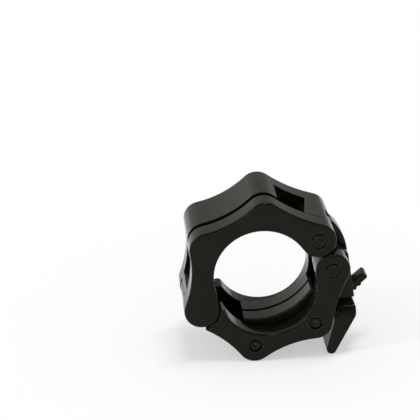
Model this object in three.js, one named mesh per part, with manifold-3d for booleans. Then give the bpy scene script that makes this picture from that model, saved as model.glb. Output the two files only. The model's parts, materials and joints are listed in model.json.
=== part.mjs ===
// Barbell collar: two hinged jaws round a 50 mm sleeve, drawn together by a toggle lever and a link.
// Millimetres and degrees. The bar runs along Y, the front face looks towards -Y, and +Z is up.
// The collar is closed and stands on its rim: on the lower jaw's bottom lobe and the lever's tip.
// Outlines are drawn in the plane of the jaws, as X and Z, and are then given their depth along Y.
import * as THREE from "three";
import { mergeVertices } from "three/addons/utils/BufferGeometryUtils.js";
import Module from "manifold-3d";

// Driving dimensions of the jaws, which follow the pads' reach round the sleeve
const PAD_REACH = 25.3;
const BORE_CLEARANCE = 0.9;
const RIM_DEPTH = 11.4;
const BORE_RADIUS = PAD_REACH + BORE_CLEARANCE;
const PIN_CIRCLE = PAD_REACH + RIM_DEPTH;
const COLLAR_WIDTH = 46;
const PLATE_THICKNESS = 11.5;
const PARTING_ANGLE = 24.5;
const PIN_ANGLE = 15;
const NEAR_LOBE_ANGLE = 66;
const FAR_LOBE_ANGLE = 122;
const BORE_OFFSET = 4.45;
const TIP_ROUND = 1;
const REAR_LIP = 0.6;
const REAR_LIP_TURN = 6;
const REAR_TIP_ROUND = 3;
const UPPER_LIP = 0.5;
const UPPER_LIP_TURN = -7;
const WIDE_HOLLOW = 2.4;
const END_HOLLOW = 1.45;
const EDGE_CHAMFER = 0.8;
const RUNNING_GAP = 0.3;

// Driving dimensions of the pads
const PAD_FLATTENING = 10.7;
const PAD_SETBACK = 1.6;
const PAD_FACE_RADIUS = PAD_REACH + PAD_FLATTENING;
const PAD_BACK_RADIUS = PAD_REACH + PAD_SETBACK;
const PAD_HALF_ANGLE = 33;
const POCKET_HALF_ANGLE = 46.5;
const PAD_GROOVE_WIDTH = 2;
const PAD_GROOVE_DEPTH = 1.4;

// Driving dimensions of the toggle
const CRANK_RADIUS = 9.5;
const ARM_THICKNESS = 6.2;
const THUMB_PAD_WIDTH = 36;
const PIN_RADIUS = 3;
const RIVET_RADIUS = 2.1;
const SLOT_RUN = 0.92;
const SLOT_RISE = 0.5;
const NECK_STEP = 2;
const CATCH_CLEARANCE = 3.4;
const CATCH_LENGTH = 32;

// Fasteners
const SCREW_RADIUS = 1.6;
const SCREW_HEAD_RADIUS = 3.2;
const SCREW_HEAD_DEPTH = 1.8;
const SCREW_RECESS_RADIUS = 3.7;
const SCREW_RECESS_DEPTH = 2.5;
const SCREW_LENGTH = 38;
const CAP_RADIUS = 3.5;
const CAP_THICKNESS = 1.5;
const CAP_RECESS_RADIUS = 4.25;
const HINGE_SKIN = 3;
const BUSH_RADIUS = 2.9;

// How finely round stretches and rods are stepped, and how far a cut runs past what it cuts
const ARC_STEP = 12;
const ROD_STEP = 18;
const SAME_POINT = 0.02;
const OVERRUN = 1;

// Windows and the shadow groove of the upper jaw, as angles round the bar's axis
const TOP_WINDOW_START = 50;
const TOP_WINDOW_END = 80;
const SIDE_WINDOW_START = 166;
const SIDE_WINDOW_END = 190;

// Places that follow from the driving dimensions
const HALF_WIDTH = COLLAR_WIDTH / 2;
const CHANNEL = HALF_WIDTH - PLATE_THICKNESS;
const ARM_FACE = CHANNEL - RUNNING_GAP;
const ARM_INSIDE = ARM_FACE - ARM_THICKNESS;
const NECK_FACE = ARM_FACE - NECK_STEP;
const LINK_FACE = ARM_INSIDE - RUNNING_GAP;
const CATCH_FACE = LINK_FACE - RUNNING_GAP;
const LOBE_RADIUS = PIN_CIRCLE * Math.sin(rad(PIN_ANGLE)) - RUNNING_GAP / 2;
const HOLE_RADIUS = PIN_RADIUS + RUNNING_GAP;
const SCREW_HOLE_RADIUS = SCREW_RADIUS + RUNNING_GAP;
const SEAT_RADIUS = PAD_BACK_RADIUS + RUNNING_GAP;
const OUTSIDE_RADIUS = PIN_CIRCLE + 2 * LOBE_RADIUS;
const UPPER_SIDE = PARTING_ANGLE + 90;
const LOWER_SIDE = PARTING_ANGLE - 90;

const AXIS = point(0, 0);
const LINK_PIN = polar(PARTING_ANGLE + PIN_ANGLE, PIN_CIRCLE);
const TOP_LOBE = polar(PARTING_ANGLE + NEAR_LOBE_ANGLE, PIN_CIRCLE);
const SIDE_LOBE = polar(PARTING_ANGLE + FAR_LOBE_ANGLE, PIN_CIRCLE);
const HINGE = polar(PARTING_ANGLE + 180, PIN_CIRCLE);
const BOTTOM_LOBE = polar(PARTING_ANGLE - FAR_LOBE_ANGLE, PIN_CIRCLE);
const CATCH_PIVOT = polar(PARTING_ANGLE - NEAR_LOBE_ANGLE, PIN_CIRCLE);
const LEVER_PIN = polar(PARTING_ANGLE - PIN_ANGLE, PIN_CIRCLE);
const UPPER_BORE = polar(UPPER_SIDE, BORE_OFFSET);
const UPPER_RING_BORE = polar(UPPER_SIDE + UPPER_LIP_TURN, BORE_OFFSET);
const LOWER_BORE = polar(LOWER_SIDE, BORE_OFFSET);
const LOWER_REAR_BORE = polar(LOWER_SIDE + REAR_LIP_TURN, BORE_OFFSET - REAR_LIP);
const CATCH_REACH = LEVER_PIN.distanceTo(CATCH_PIVOT) - CATCH_CLEARANCE;
const LINK_LENGTH = LINK_PIN.distanceTo(LEVER_PIN) + CRANK_RADIUS;
const LEVER_LENGTH = LEVER_PIN.y - BOTTOM_LOBE.y + LOBE_RADIUS;

const wasm = await Module();
wasm.setup();

function rad(degrees) {
  return (degrees * Math.PI) / 180;
}

function point(x, z) {
  return new THREE.Vector2(x, z);
}

function polar(angle, radius, centre = point(0, 0)) {
  return point(centre.x + radius * Math.cos(rad(angle)), centre.y + radius * Math.sin(rad(angle)));
}

// Where two circles cross, on the right of the way from the first centre to the second.
function crossing(first, firstRadius, second, secondRadius) {
  const reach = second.clone().sub(first);
  const span = reach.length();
  const along = (span * span + firstRadius * firstRadius - secondRadius * secondRadius) / (2 * span);
  const aside = Math.sqrt(firstRadius * firstRadius - along * along);
  const way = reach.normalize();
  return point(first.x + along * way.x + aside * way.y, first.y + along * way.y - aside * way.x);
}

// The hollow round between two lobes, as a centre and a negative radius.
// It meets both lobes smoothly and is that deep below the line that touches both.
function hollow(firstAngle, secondAngle, depth) {
  const middle = PARTING_ANGLE + (firstAngle + secondAngle) / 2;
  const foot = PIN_CIRCLE * Math.cos(rad((secondAngle - firstAngle) / 2));
  const waist = foot + LOBE_RADIUS - depth;
  const top = LOBE_RADIUS ** 2 - waist ** 2 + 2 * waist * foot - PIN_CIRCLE ** 2;
  const radius = top / (2 * (waist - foot - LOBE_RADIUS));
  return [polar(middle, radius + waist), -radius];
}

// A closed outline round a list of circles, joined by the lines that touch them, anticlockwise.
// A positive radius rounds a corner outwards, a negative one hollows it, and zero is a sharp corner.
function outline(rounds) {
  const count = rounds.length;
  const headings = rounds.map(([centre, bend], index) => {
    const [next, nextBend] = rounds[(index + 1) % count];
    const reach = next.clone().sub(centre);
    const share = THREE.MathUtils.clamp((bend - nextBend) / reach.length(), -1, 1);
    return reach.angle() - Math.acos(share);
  });
  const points = [];
  rounds.forEach(([centre, bend], index) => {
    const turned = bend < 0 ? Math.PI : 0;
    const from = headings[(index + count - 1) % count] + turned;
    const whole = 2 * Math.PI;
    let sweep = (((headings[index] + turned - from) % whole) + whole) % whole;
    if (whole - sweep < rad(1)) sweep = 0;
    if (bend < 0 && sweep > 0) sweep -= whole;
    const steps = bend === 0 ? 0 : Math.ceil(Math.abs(sweep) / rad(ARC_STEP));
    for (let step = 0; step <= steps; step += 1) {
      const angle = from + (steps ? (sweep * step) / steps : 0);
      const size = Math.abs(bend);
      const spot = point(centre.x + size * Math.cos(angle), centre.y + size * Math.sin(angle));
      const last = points[points.length - 1];
      if (!last || last.distanceTo(spot) > SAME_POINT) points.push(spot);
    }
  });
  if (points[0].distanceTo(points[points.length - 1]) <= SAME_POINT) points.pop();
  return new THREE.Shape(points);
}

// Corners of an outline from shares of the size that it follows, each with its rounding.
function corners(shares, size, rounds) {
  return shares.map(([x, z], index) => [point(x * size, z * size), rounds[index]]);
}

function disc(centre, radius) {
  const count = 360 / ROD_STEP;
  const points = [];
  for (let index = 0; index < count; index += 1) points.push(polar(index * ROD_STEP, radius, centre));
  return new THREE.Shape(points);
}

// A piece of a ring about a centre, between two radii and two angles.
function sector(centre, inner, outer, from, to) {
  const steps = Math.ceil((to - from) / ARC_STEP);
  const points = [];
  for (let step = 0; step <= steps; step += 1) {
    points.push(polar(from + ((to - from) * step) / steps, outer, centre));
  }
  for (let step = steps; step >= 0; step -= 1) {
    points.push(polar(from + ((to - from) * step) / steps, inner, centre));
  }
  return new THREE.Shape(points);
}

// An outline given its depth, from a front place to a rear place along Y. It may then be turned about Z.
function slab(shape, front, rear, chamfer = 0, turn = 0) {
  const geometry = new THREE.ExtrudeGeometry(shape, {
    depth: rear - front - 2 * chamfer,
    bevelEnabled: chamfer > 0,
    bevelThickness: chamfer,
    bevelSize: chamfer,
    bevelOffset: -chamfer,
    bevelSegments: 1,
  });
  geometry.rotateX(Math.PI / 2);
  geometry.translate(0, rear - chamfer, 0);
  geometry.rotateZ(rad(turn));
  return toSolid(geometry);
}

function rod(centre, radius, front, rear) {
  return slab(disc(centre, radius), front, rear);
}

function toSolid(geometry) {
  geometry.deleteAttribute("normal");
  geometry.deleteAttribute("uv");
  const merged = mergeVertices(geometry);
  const vertProperties = merged.attributes.position.array;
  const triVerts = new Uint32Array(merged.index.array);
  return new wasm.Manifold(new wasm.Mesh({ numProp: 3, vertProperties, triVerts }));
}

function toGeometry(solid) {
  const mesh = solid.getMesh();
  const geometry = new THREE.BufferGeometry();
  geometry.setAttribute("position", new THREE.BufferAttribute(mesh.vertProperties, mesh.numProp));
  geometry.setIndex(new THREE.BufferAttribute(mesh.triVerts, 1));
  return geometry;
}

function joined(first, ...others) {
  return others.reduce((whole, other) => whole.add(other), first);
}

function without(first, ...others) {
  return others.reduce((whole, other) => whole.subtract(other), first);
}

// Outlines of the two jaws. The upper one's lobes wrap the hinge and the lower one is cut round them.
function upperRim() {
  return [
    [LINK_PIN, LOBE_RADIUS],
    hollow(PIN_ANGLE, NEAR_LOBE_ANGLE, END_HOLLOW),
    [TOP_LOBE, LOBE_RADIUS],
    hollow(NEAR_LOBE_ANGLE, FAR_LOBE_ANGLE, WIDE_HOLLOW),
    [SIDE_LOBE, LOBE_RADIUS],
    hollow(FAR_LOBE_ANGLE, 180, WIDE_HOLLOW),
    [HINGE, LOBE_RADIUS],
  ];
}

function upperOutline(boreRadius, boreCentre) {
  return outline([...upperRim(), [boreCentre, -boreRadius]]);
}

function upperRing() {
  return upperOutline(BORE_RADIUS - UPPER_LIP, UPPER_RING_BORE);
}

function lowerOutline(boreRadius, boreCentre, tipRound) {
  const heelRound = 1.2;
  const seam = LOBE_RADIUS + RUNNING_GAP;
  const waist = hollow(-180, -FAR_LOBE_ANGLE, WIDE_HOLLOW);
  const tip = crossing(HINGE, seam + tipRound, boreCentre, boreRadius + tipRound);
  const heel = crossing(waist[0], heelRound - waist[1], HINGE, seam + heelRound);
  return outline([
    [LEVER_PIN, LOBE_RADIUS],
    [boreCentre, -boreRadius],
    [tip, tipRound],
    [HINGE, -seam],
    [heel, heelRound],
    waist,
    [BOTTOM_LOBE, LOBE_RADIUS],
    hollow(-FAR_LOBE_ANGLE, -NEAR_LOBE_ANGLE, WIDE_HOLLOW),
    [CATCH_PIVOT, LOBE_RADIUS],
    hollow(-NEAR_LOBE_ANGLE, -PIN_ANGLE, END_HOLLOW),
  ]);
}

// Holes and recesses. Each face is -1 for the front of the collar and 1 for the rear.
function capRecess(centre, face) {
  const outside = face * (HALF_WIDTH + OVERRUN);
  const floor = face * (HALF_WIDTH - CAP_THICKNESS - RUNNING_GAP);
  return rod(centre, CAP_RECESS_RADIUS, Math.min(outside, floor), Math.max(outside, floor));
}

function screwRecess(centre, face) {
  const outside = face * (HALF_WIDTH + OVERRUN);
  const floor = face * (HALF_WIDTH - SCREW_RECESS_DEPTH);
  return rod(centre, SCREW_RECESS_RADIUS, Math.min(outside, floor), Math.max(outside, floor));
}

function screwHole(centre, face) {
  const head = face * (HALF_WIDTH + OVERRUN);
  const tip = face * (HALF_WIDTH - SCREW_LENGTH - 2 * RUNNING_GAP);
  return rod(centre, SCREW_HOLE_RADIUS, Math.min(head, tip), Math.max(head, tip));
}

function pinHole(centre) {
  return rod(centre, HOLE_RADIUS, -HALF_WIDTH - OVERRUN, HALF_WIDTH + OVERRUN);
}

function hingeBore() {
  const end = HALF_WIDTH - HINGE_SKIN;
  return rod(HINGE, HOLE_RADIUS, -end, end);
}

// Lower jaw
function lowerFrontPlate() {
  return without(
    slab(lowerOutline(BORE_RADIUS, LOWER_BORE, TIP_ROUND), -HALF_WIDTH, -CHANNEL, EDGE_CHAMFER),
    pinHole(LEVER_PIN),
    capRecess(LEVER_PIN, -1),
    screwHole(CATCH_PIVOT, -1),
    screwRecess(CATCH_PIVOT, -1),
    screwHole(BOTTOM_LOBE, -1),
    screwRecess(BOTTOM_LOBE, -1),
  );
}

// What the web between the lower plates leaves free: the lever's hub and arms, and the catch.
function leverBay() {
  const hubClearance = 0.8;
  const bayEdge = 30;
  const armFoot = point(LEVER_PIN.x + RUNNING_GAP / 2, CATCH_PIVOT.y + LOBE_RADIUS - 2 * hubClearance);
  const bay = outline([
    [LEVER_PIN, LOBE_RADIUS + RUNNING_GAP],
    [armFoot, 0],
    [point(LEVER_PIN.x + bayEdge, armFoot.y), 0],
    [point(LEVER_PIN.x + bayEdge, LEVER_PIN.y + LOBE_RADIUS), 0],
  ]);
  return slab(bay, -HALF_WIDTH, CHANNEL);
}

function catchBay() {
  const bayRadius = 6.2;
  const bayEdge = 30;
  const rootRise = 1.4;
  const rootReach = 11.7;
  const backReach = 8.5;
  const backRise = 13;
  const bay = outline([
    [CATCH_PIVOT, bayRadius],
    [point(CATCH_PIVOT.x + rootReach, CATCH_PIVOT.y + rootRise), 0],
    [point(CATCH_PIVOT.x + bayEdge, CATCH_PIVOT.y + rootRise), 0],
    [point(CATCH_PIVOT.x + bayEdge, CATCH_PIVOT.y + backRise), 0],
    [point(CATCH_PIVOT.x + backReach, CATCH_PIVOT.y + backRise), 0],
  ]);
  return slab(bay, -HALF_WIDTH, CHANNEL);
}

function lowerRearHousing() {
  const pocketDepth = 5.8;
  const pocketRadius = SEAT_RADIUS + pocketDepth;
  const pocketSpan = 48;
  const padEnd = LOWER_SIDE + POCKET_HALF_ANGLE;
  const padStart = LOWER_SIDE - POCKET_HALF_ANGLE;
  const neckRadius = 2.2;
  const neckAngle = 162;
  const neck = polar(PARTING_ANGLE - neckAngle, PIN_CIRCLE);
  const knuckleRadius = LOBE_RADIUS - RUNNING_GAP;
  const knuckleFace = CHANNEL - 2 * RUNNING_GAP;
  const knuckle = outline([
    [HINGE, knuckleRadius],
    [neck, neckRadius],
  ]);
  const flange = lowerOutline(BORE_RADIUS - REAR_LIP, LOWER_REAR_BORE, REAR_TIP_ROUND);
  const webOutline = lowerOutline(SEAT_RADIUS, LOWER_BORE, TIP_ROUND);
  const web = without(
    slab(webOutline, RUNNING_GAP - CHANNEL, CHANNEL + OVERRUN),
    slab(sector(LOWER_BORE, BORE_RADIUS, pocketRadius, padStart - pocketSpan, padStart), -CHANNEL, CHANNEL),
    slab(sector(AXIS, BORE_RADIUS, OUTSIDE_RADIUS, padEnd, PARTING_ANGLE), -CHANNEL, CHANNEL),
    leverBay(),
    catchBay(),
  );
  return without(
    joined(
      slab(flange, CHANNEL, HALF_WIDTH, EDGE_CHAMFER),
      web,
      slab(knuckle, -knuckleFace, knuckleFace),
    ),
    pinHole(LEVER_PIN),
    capRecess(LEVER_PIN, 1),
    screwHole(CATCH_PIVOT, -1),
    screwHole(BOTTOM_LOBE, -1),
    hingeBore(),
  );
}

// Upper jaw
function upperFrontPlate() {
  return without(
    slab(upperRing(), -HALF_WIDTH, -CHANNEL, EDGE_CHAMFER),
    pinHole(LINK_PIN),
    capRecess(LINK_PIN, -1),
    hingeBore(),
    screwHole(TOP_LOBE, 1),
    screwHole(SIDE_LOBE, 1),
  );
}

// The shadow groove behind the front plate, from the top window round to the side window.
function shadowGroove() {
  const width = 3.9;
  const depth = 2.5;
  const rear = width - CHANNEL;
  const stretch = sector(AXIS, BORE_RADIUS, OUTSIDE_RADIUS, TOP_WINDOW_END, SIDE_WINDOW_START);
  const core = outline(upperRim().map(([centre, bend]) => [centre, bend - depth]));
  return without(slab(stretch, -HALF_WIDTH, rear), slab(core, -HALF_WIDTH - OVERRUN, rear + OVERRUN));
}

// The slot for the link in the link pin's lobe: its hub, and the way the link swings.
function linkSlot() {
  const hubRadius = 6.6;
  const swingRadius = 14;
  const swingStart = -140;
  const swingEnd = 48;
  const swing = sector(LINK_PIN, RUNNING_GAP, swingRadius, swingStart, swingEnd);
  return joined(
    rod(LINK_PIN, hubRadius, -ARM_INSIDE, ARM_INSIDE),
    slab(swing, -ARM_INSIDE, ARM_INSIDE),
  );
}

// A window through the housing's outer wall, down to a floor round the bar's axis.
function housingWindow(from, to) {
  const floorThickness = 6.6;
  const windowFloor = SEAT_RADIUS + floorThickness;
  return slab(sector(AXIS, windowFloor, OUTSIDE_RADIUS, from, to), -CHANNEL, CHANNEL);
}

// The top window ends at the link pin's boss, whose wall slants away from the front plate.
function topWindow() {
  const wallRebate = 1.15;
  const frontReach = 7;
  const rearReach = 3.1;
  const plan = new THREE.Shape([
    point(0, -CHANNEL),
    point(LINK_PIN.x - frontReach, -CHANNEL),
    point(LINK_PIN.x - rearReach, CHANNEL),
    point(0, CHANNEL),
  ]);
  const free = new THREE.ExtrudeGeometry(plan, { depth: OUTSIDE_RADIUS, bevelEnabled: false });
  return without(
    housingWindow(TOP_WINDOW_START, TOP_WINDOW_END).intersect(toSolid(free)),
    rod(LINK_PIN, LOBE_RADIUS - wallRebate, -HALF_WIDTH, HALF_WIDTH),
  );
}

function upperRearHousing() {
  return without(
    joined(
      slab(upperRing(), CHANNEL, HALF_WIDTH, EDGE_CHAMFER),
      slab(upperOutline(SEAT_RADIUS, UPPER_BORE), RUNNING_GAP - CHANNEL, CHANNEL + OVERRUN),
    ),
    shadowGroove(),
    topWindow(),
    housingWindow(SIDE_WINDOW_START, SIDE_WINDOW_END),
    rod(HINGE, LOBE_RADIUS + RUNNING_GAP, -HALF_WIDTH, CHANNEL - RUNNING_GAP),
    linkSlot(),
    pinHole(LINK_PIN),
    capRecess(LINK_PIN, 1),
    hingeBore(),
    screwHole(TOP_LOBE, 1),
    screwRecess(TOP_LOBE, 1),
    screwHole(SIDE_LOBE, 1),
    screwRecess(SIDE_LOBE, 1),
  );
}

// A rubber pad. Its face is flatter than the bar, so that its middle bears first. Its back lies in the
// jaw's seat, and a groove runs along its middle.
function pad(side, seatCentre) {
  const face = CHANNEL - 2 * RUNNING_GAP;
  const from = side - PAD_HALF_ANGLE;
  const to = side + PAD_HALF_ANGLE;
  const faceCentre = polar(side + 180, PAD_FLATTENING);
  const blank = slab(sector(faceCentre, PAD_FACE_RADIUS, PIN_CIRCLE + PAD_REACH, from, to), -face, face);
  const grooveFloor = PAD_FACE_RADIUS + PAD_GROOVE_DEPTH;
  const groove = sector(faceCentre, PAD_FACE_RADIUS - OVERRUN, grooveFloor, from - OVERRUN, to + OVERRUN);
  const seat = sector(seatCentre, RUNNING_GAP, PAD_BACK_RADIUS, side - 90, side + 90);
  return without(
    blank.intersect(slab(seat, -CHANNEL, CHANNEL)),
    slab(groove, -PAD_GROOVE_WIDTH / 2, PAD_GROOVE_WIDTH / 2),
  );
}

// Fasteners, made about their own axis
function crossHeadScrew() {
  const slotLength = 3.4;
  const slotWidth = 0.9;
  const slotDepth = 1;
  const headFront = SCREW_RECESS_DEPTH - SCREW_HEAD_DEPTH - RUNNING_GAP;
  const slots = [0, 1].map((turn) => {
    const across = turn ? slotLength : slotWidth;
    const up = turn ? slotWidth : slotLength;
    const slot = new THREE.BoxGeometry(across, 2 * slotDepth, up);
    return toSolid(slot.translate(0, headFront, 0));
  });
  return without(
    joined(
      rod(AXIS, SCREW_HEAD_RADIUS, headFront, headFront + SCREW_HEAD_DEPTH),
      rod(AXIS, SCREW_RADIUS, headFront + slotDepth, SCREW_LENGTH),
    ),
    ...slots,
  );
}

function pinCap() {
  return slab(disc(AXIS, CAP_RADIUS), 0, CAP_THICKNESS - RUNNING_GAP, RUNNING_GAP);
}

// Lever, in its own frame about the lever pin
function armOutline() {
  const hubRadius = LOBE_RADIUS - RUNNING_GAP;
  const footRound = 0.4;
  const crestRound = 0.8;
  const cornerShares = [
    [-0.089, -0.162],
    [0.019, -0.423],
    [0.253, -0.398],
    [0.172, 0.075],
  ];
  const rounds = [0, footRound, footRound, crestRound];
  return outline([[AXIS, hubRadius], ...corners(cornerShares, LEVER_LENGTH, rounds)]);
}

// The neck and the tongue that the thumb pad is fixed on, drawn larger by a margin for its socket.
function tongueOutline(margin) {
  const tongueRound = 0.5;
  const backHollow = 2;
  const cornerShares = [
    [0.058, -0.347],
    [0.0715, -0.492],
    [0.062, -0.772],
    [0.081, -0.772],
    [0.193, -0.56],
    [0.208, -0.492],
    [0.22, -0.347],
  ];
  const round = tongueRound + margin;
  const back = margin - backHollow;
  const rounds = [round, back, round, round, round, round, round];
  return outline(corners(cornerShares, LEVER_LENGTH, rounds));
}

// The free way for the catch between the arms and into the thumb pad.
function catchWay() {
  const wayStart = -180;
  const wayEnd = 175;
  const way = sector(AXIS, RUNNING_GAP, CATCH_REACH + RUNNING_GAP, wayStart, wayEnd);
  return slab(way, -ARM_INSIDE, ARM_INSIDE);
}

function leverFork() {
  return without(
    joined(
      slab(armOutline(), -ARM_FACE, ARM_FACE),
      slab(tongueOutline(0), -NECK_FACE, NECK_FACE),
    ),
    catchWay(),
    rod(AXIS, HOLE_RADIUS, -HALF_WIDTH, HALF_WIDTH),
    rod(crank(), RIVET_RADIUS + RUNNING_GAP, -HALF_WIDTH, HALF_WIDTH),
  );
}

function crank() {
  return polar(LOWER_SIDE, CRANK_RADIUS);
}

function thumbPadOutline() {
  const topRound = 1;
  const crestRound = 2;
  const rimRound = 6;
  const tipRound = 2.7;
  const tipShare = 0.0212;
  const topShares = [
    [0.2297, -0.4884],
    [0.093, -0.496],
  ];
  const rimShares = [[0.1525, -0.5386]];
  return outline([
    ...corners(topShares, LEVER_LENGTH, [crestRound, topRound]),
    [point(tipShare * LEVER_LENGTH, tipRound - LEVER_LENGTH), tipRound],
    ...corners(rimShares, LEVER_LENGTH, [rimRound]),
  ]);
}

// Grooves across the thumb pad's outer face, between its rims.
function thumbGrooves() {
  const count = 5;
  const rim = 2.4;
  const grooveWidth = 2.6;
  const grooveDepth = 0.7;
  const spareShare = 1.5;
  const endShares = [
    [0.282, -0.537],
    [0.0666, -0.981],
  ];
  const [top, foot] = endShares.map(([x, z]) => point(x * LEVER_LENGTH, z * LEVER_LENGTH));
  const way = foot.clone().sub(top);
  const tilt = way.angle();
  const pitch = way.length() / (count + spareShare);
  const grooves = [];
  for (let index = 1; index <= count; index += 1) {
    const groove = new THREE.BoxGeometry(grooveWidth, THUMB_PAD_WIDTH - 2 * rim, 2 * grooveDepth);
    groove.rotateY(-tilt);
    const place = top.clone().addScaledVector(way, (index * pitch) / way.length());
    groove.translate(place.x, 0, place.y);
    grooves.push(toSolid(groove));
  }
  return grooves;
}

// What is left of the thumb pad when its shoulders beside the arms are rounded off, seen from its side.
function thumbShoulders() {
  const shoulderRound = 8;
  const topShare = -0.452;
  const top = topShare * LEVER_LENGTH - shoulderRound;
  const side = THUMB_PAD_WIDTH / 2;
  const shape = outline([
    [point(side - shoulderRound, top), shoulderRound],
    [point(shoulderRound - side, top), shoulderRound],
    [point(-side, -LEVER_LENGTH - OVERRUN), 0],
    [point(side, -LEVER_LENGTH - OVERRUN), 0],
  ]);
  return slab(shape, -LEVER_LENGTH, LEVER_LENGTH, 0, 90);
}

function thumbPad() {
  const face = THUMB_PAD_WIDTH / 2;
  const socketFace = NECK_FACE + RUNNING_GAP;
  return without(
    slab(thumbPadOutline(), -face, face, EDGE_CHAMFER).intersect(thumbShoulders()),
    slab(tongueOutline(RUNNING_GAP), -socketFace, socketFace),
    catchWay(),
    ...thumbGrooves(),
  );
}

function toggleRivet() {
  return rod(crank(), RIVET_RADIUS, -ARM_FACE, ARM_FACE);
}

// Link, in its own frame: the link pin at the start, the rivet's slot at the end, bulging outwards.
function link() {
  const backRadius = 28.8;
  const hornRound = 0.7;
  const backShares = [
    [0.386, -0.59],
    [0.01, 0.319],
  ];
  const hubRadius = 6.2;
  const eyeRadius = 5;
  const notchGap = 0.8;
  const shoulderAngle = 96;
  const eye = point(LINK_LENGTH + SLOT_RUN / 2, SLOT_RISE / 2);
  const slot = outline([
    [point(LINK_LENGTH, 0), RIVET_RADIUS + RUNNING_GAP],
    [point(LINK_LENGTH + SLOT_RUN, SLOT_RISE), RIVET_RADIUS + RUNNING_GAP],
  ]);
  const body = outline([
    [AXIS, hubRadius],
    [point(LINK_LENGTH - CRANK_RADIUS, 0), -PIN_RADIUS - notchGap],
    [eye, eyeRadius],
    ...corners(backShares, LINK_LENGTH, [backRadius, hornRound]),
    [polar(shoulderAngle, hubRadius), 0],
  ]);
  return without(
    slab(body, -LINK_FACE, LINK_FACE),
    rod(AXIS, HOLE_RADIUS, -HALF_WIDTH, HALF_WIDTH),
    slab(slot, -HALF_WIDTH, HALF_WIDTH),
  );
}

// Catch, in its own frame about its screw: a hub, a hook's foot, teeth for the finger and a round tip.
function releaseCatch() {
  const hubRadius = 5.2;
  const heelRound = 0.4;
  const tipRound = 1.2;
  const footShares = [
    [0.262, 0.078],
    [0.545, 0.143],
  ];
  const tipShares = [
    [0.905, 0.5515],
    [0.88, 0.5755],
    [0.7125, 0.475],
    [0.42, 0.34],
  ];
  const body = outline([
    [AXIS, hubRadius],
    ...corners(footShares, CATCH_LENGTH, [0, heelRound]),
    ...catchTeeth(),
    ...corners(tipShares, CATCH_LENGTH, [tipRound, tipRound, 0, 0]),
  ]);
  return without(
    slab(body, -CATCH_FACE, CATCH_FACE),
    rod(AXIS, BUSH_RADIUS + RUNNING_GAP, -HALF_WIDTH, HALF_WIDTH),
  );
}

// The saw teeth along the catch's outer edge, as sharp corners from the foot to the tip.
function catchTeeth() {
  const count = 4;
  const depth = 0.6;
  const crestShare = 0.65;
  const endShares = [
    [0.571, 0.162],
    [0.85, 0.447],
  ];
  const [first, last] = endShares.map(([x, z]) => point(x * CATCH_LENGTH, z * CATCH_LENGTH));
  const away = last.clone().sub(first).normalize();
  const teeth = [];
  for (let index = 0; index < count; index += 1) {
    const foot = first.clone().lerp(last, index / count);
    const crest = first.clone().lerp(last, (index + crestShare) / count);
    teeth.push([foot, 0]);
    teeth.push([point(crest.x + depth * away.y, crest.y - depth * away.x), 0]);
  }
  return [...teeth, [last, 0]];
}

function catchBush() {
  return without(
    rod(AXIS, BUSH_RADIUS, -ARM_FACE, ARM_FACE),
    rod(AXIS, SCREW_HOLE_RADIUS, -HALF_WIDTH, HALF_WIDTH),
  );
}

// The catch's torsion spring: one wire wound round the bush, with a straight leg at each end.
class SpringPath extends THREE.Curve {
  constructor(sizes) {
    super();
    Object.assign(this, sizes);
    this.coil = 2 * Math.PI * this.radius * this.turns;
  }

  getPoint(share, target = new THREE.Vector3()) {
    const run = share * (this.coil + 2 * this.leg) - this.leg;
    const wound = THREE.MathUtils.clamp(run, 0, this.coil);
    const turn = wound / this.radius;
    const angle = rad(this.start) + turn;
    const past = run - wound;
    target.set(
      this.radius * Math.cos(angle) - past * Math.sin(angle),
      (this.pitch * turn) / (2 * Math.PI),
      this.radius * Math.sin(angle) + past * Math.cos(angle),
    );
    return target;
  }
}

function catchSpring() {
  const wireRadius = 0.45;
  const wireSides = 5;
  const curlSteps = 8;
  const bushGap = 0.95;
  const pitch = 1.4;
  const leg = 2.6;
  const turns = 3.25;
  const start = 300;
  const radius = BUSH_RADIUS + bushGap + wireRadius;
  const path = new SpringPath({ radius, turns, pitch, leg, start });
  const steps = Math.ceil(curlSteps * (path.turns + (2 * path.leg) / (2 * Math.PI * path.radius)));
  const wire = new THREE.Shape();
  for (let side = 0; side < wireSides; side += 1) {
    const spot = polar((360 * side) / wireSides, wireRadius);
    if (side) wire.lineTo(spot.x, spot.y);
    else wire.moveTo(spot.x, spot.y);
  }
  const geometry = new THREE.ExtrudeGeometry(wire, { steps, extrudePath: path });
  geometry.translate(0, CATCH_FACE + RUNNING_GAP + wireRadius, 0);
  console.log("catch spring: least gap between curls", leastCurlGap(path, wireRadius).toFixed(2), "mm");
  return toSolid(geometry);
}

// The least distance between stretches of the wire that lie a turn or so apart, less its thickness.
function leastCurlGap(path, wireRadius) {
  const samples = 400;
  const apartShare = 0.5;
  const spots = path.getPoints(samples);
  const apart = Math.floor((samples * apartShare) / path.turns);
  let least = Infinity;
  for (let first = 0; first <= samples; first += 1) {
    for (let second = first + apart; second <= samples; second += 1) {
      least = Math.min(least, spots[first].distanceTo(spots[second]));
    }
  }
  return least - 2 * wireRadius;
}

// Finishes
function blackShell() {
  return new THREE.MeshStandardMaterial({ color: 0x23211e, roughness: 0.45, metalness: 0 });
}

function blackRubber() {
  return new THREE.MeshStandardMaterial({ color: 0x2f2e2b, roughness: 0.8, metalness: 0 });
}

function blackSteel() {
  return new THREE.MeshStandardMaterial({ color: 0x1b1a19, roughness: 0.4, metalness: 0.8 });
}

function brightSteel() {
  return new THREE.MeshStandardMaterial({ color: 0x9a9a98, roughness: 0.35, metalness: 1 });
}

function piece(group, name, solid, material) {
  const mesh = new THREE.Mesh(toGeometry(solid), material);
  mesh.name = name;
  group.add(mesh);
  return mesh;
}

// A group whose origin is a point of the jaws' plane
function groupAt(place, parent) {
  const group = new THREE.Group();
  group.position.set(place.x, 0, place.y);
  parent.add(group);
  return group;
}

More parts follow.
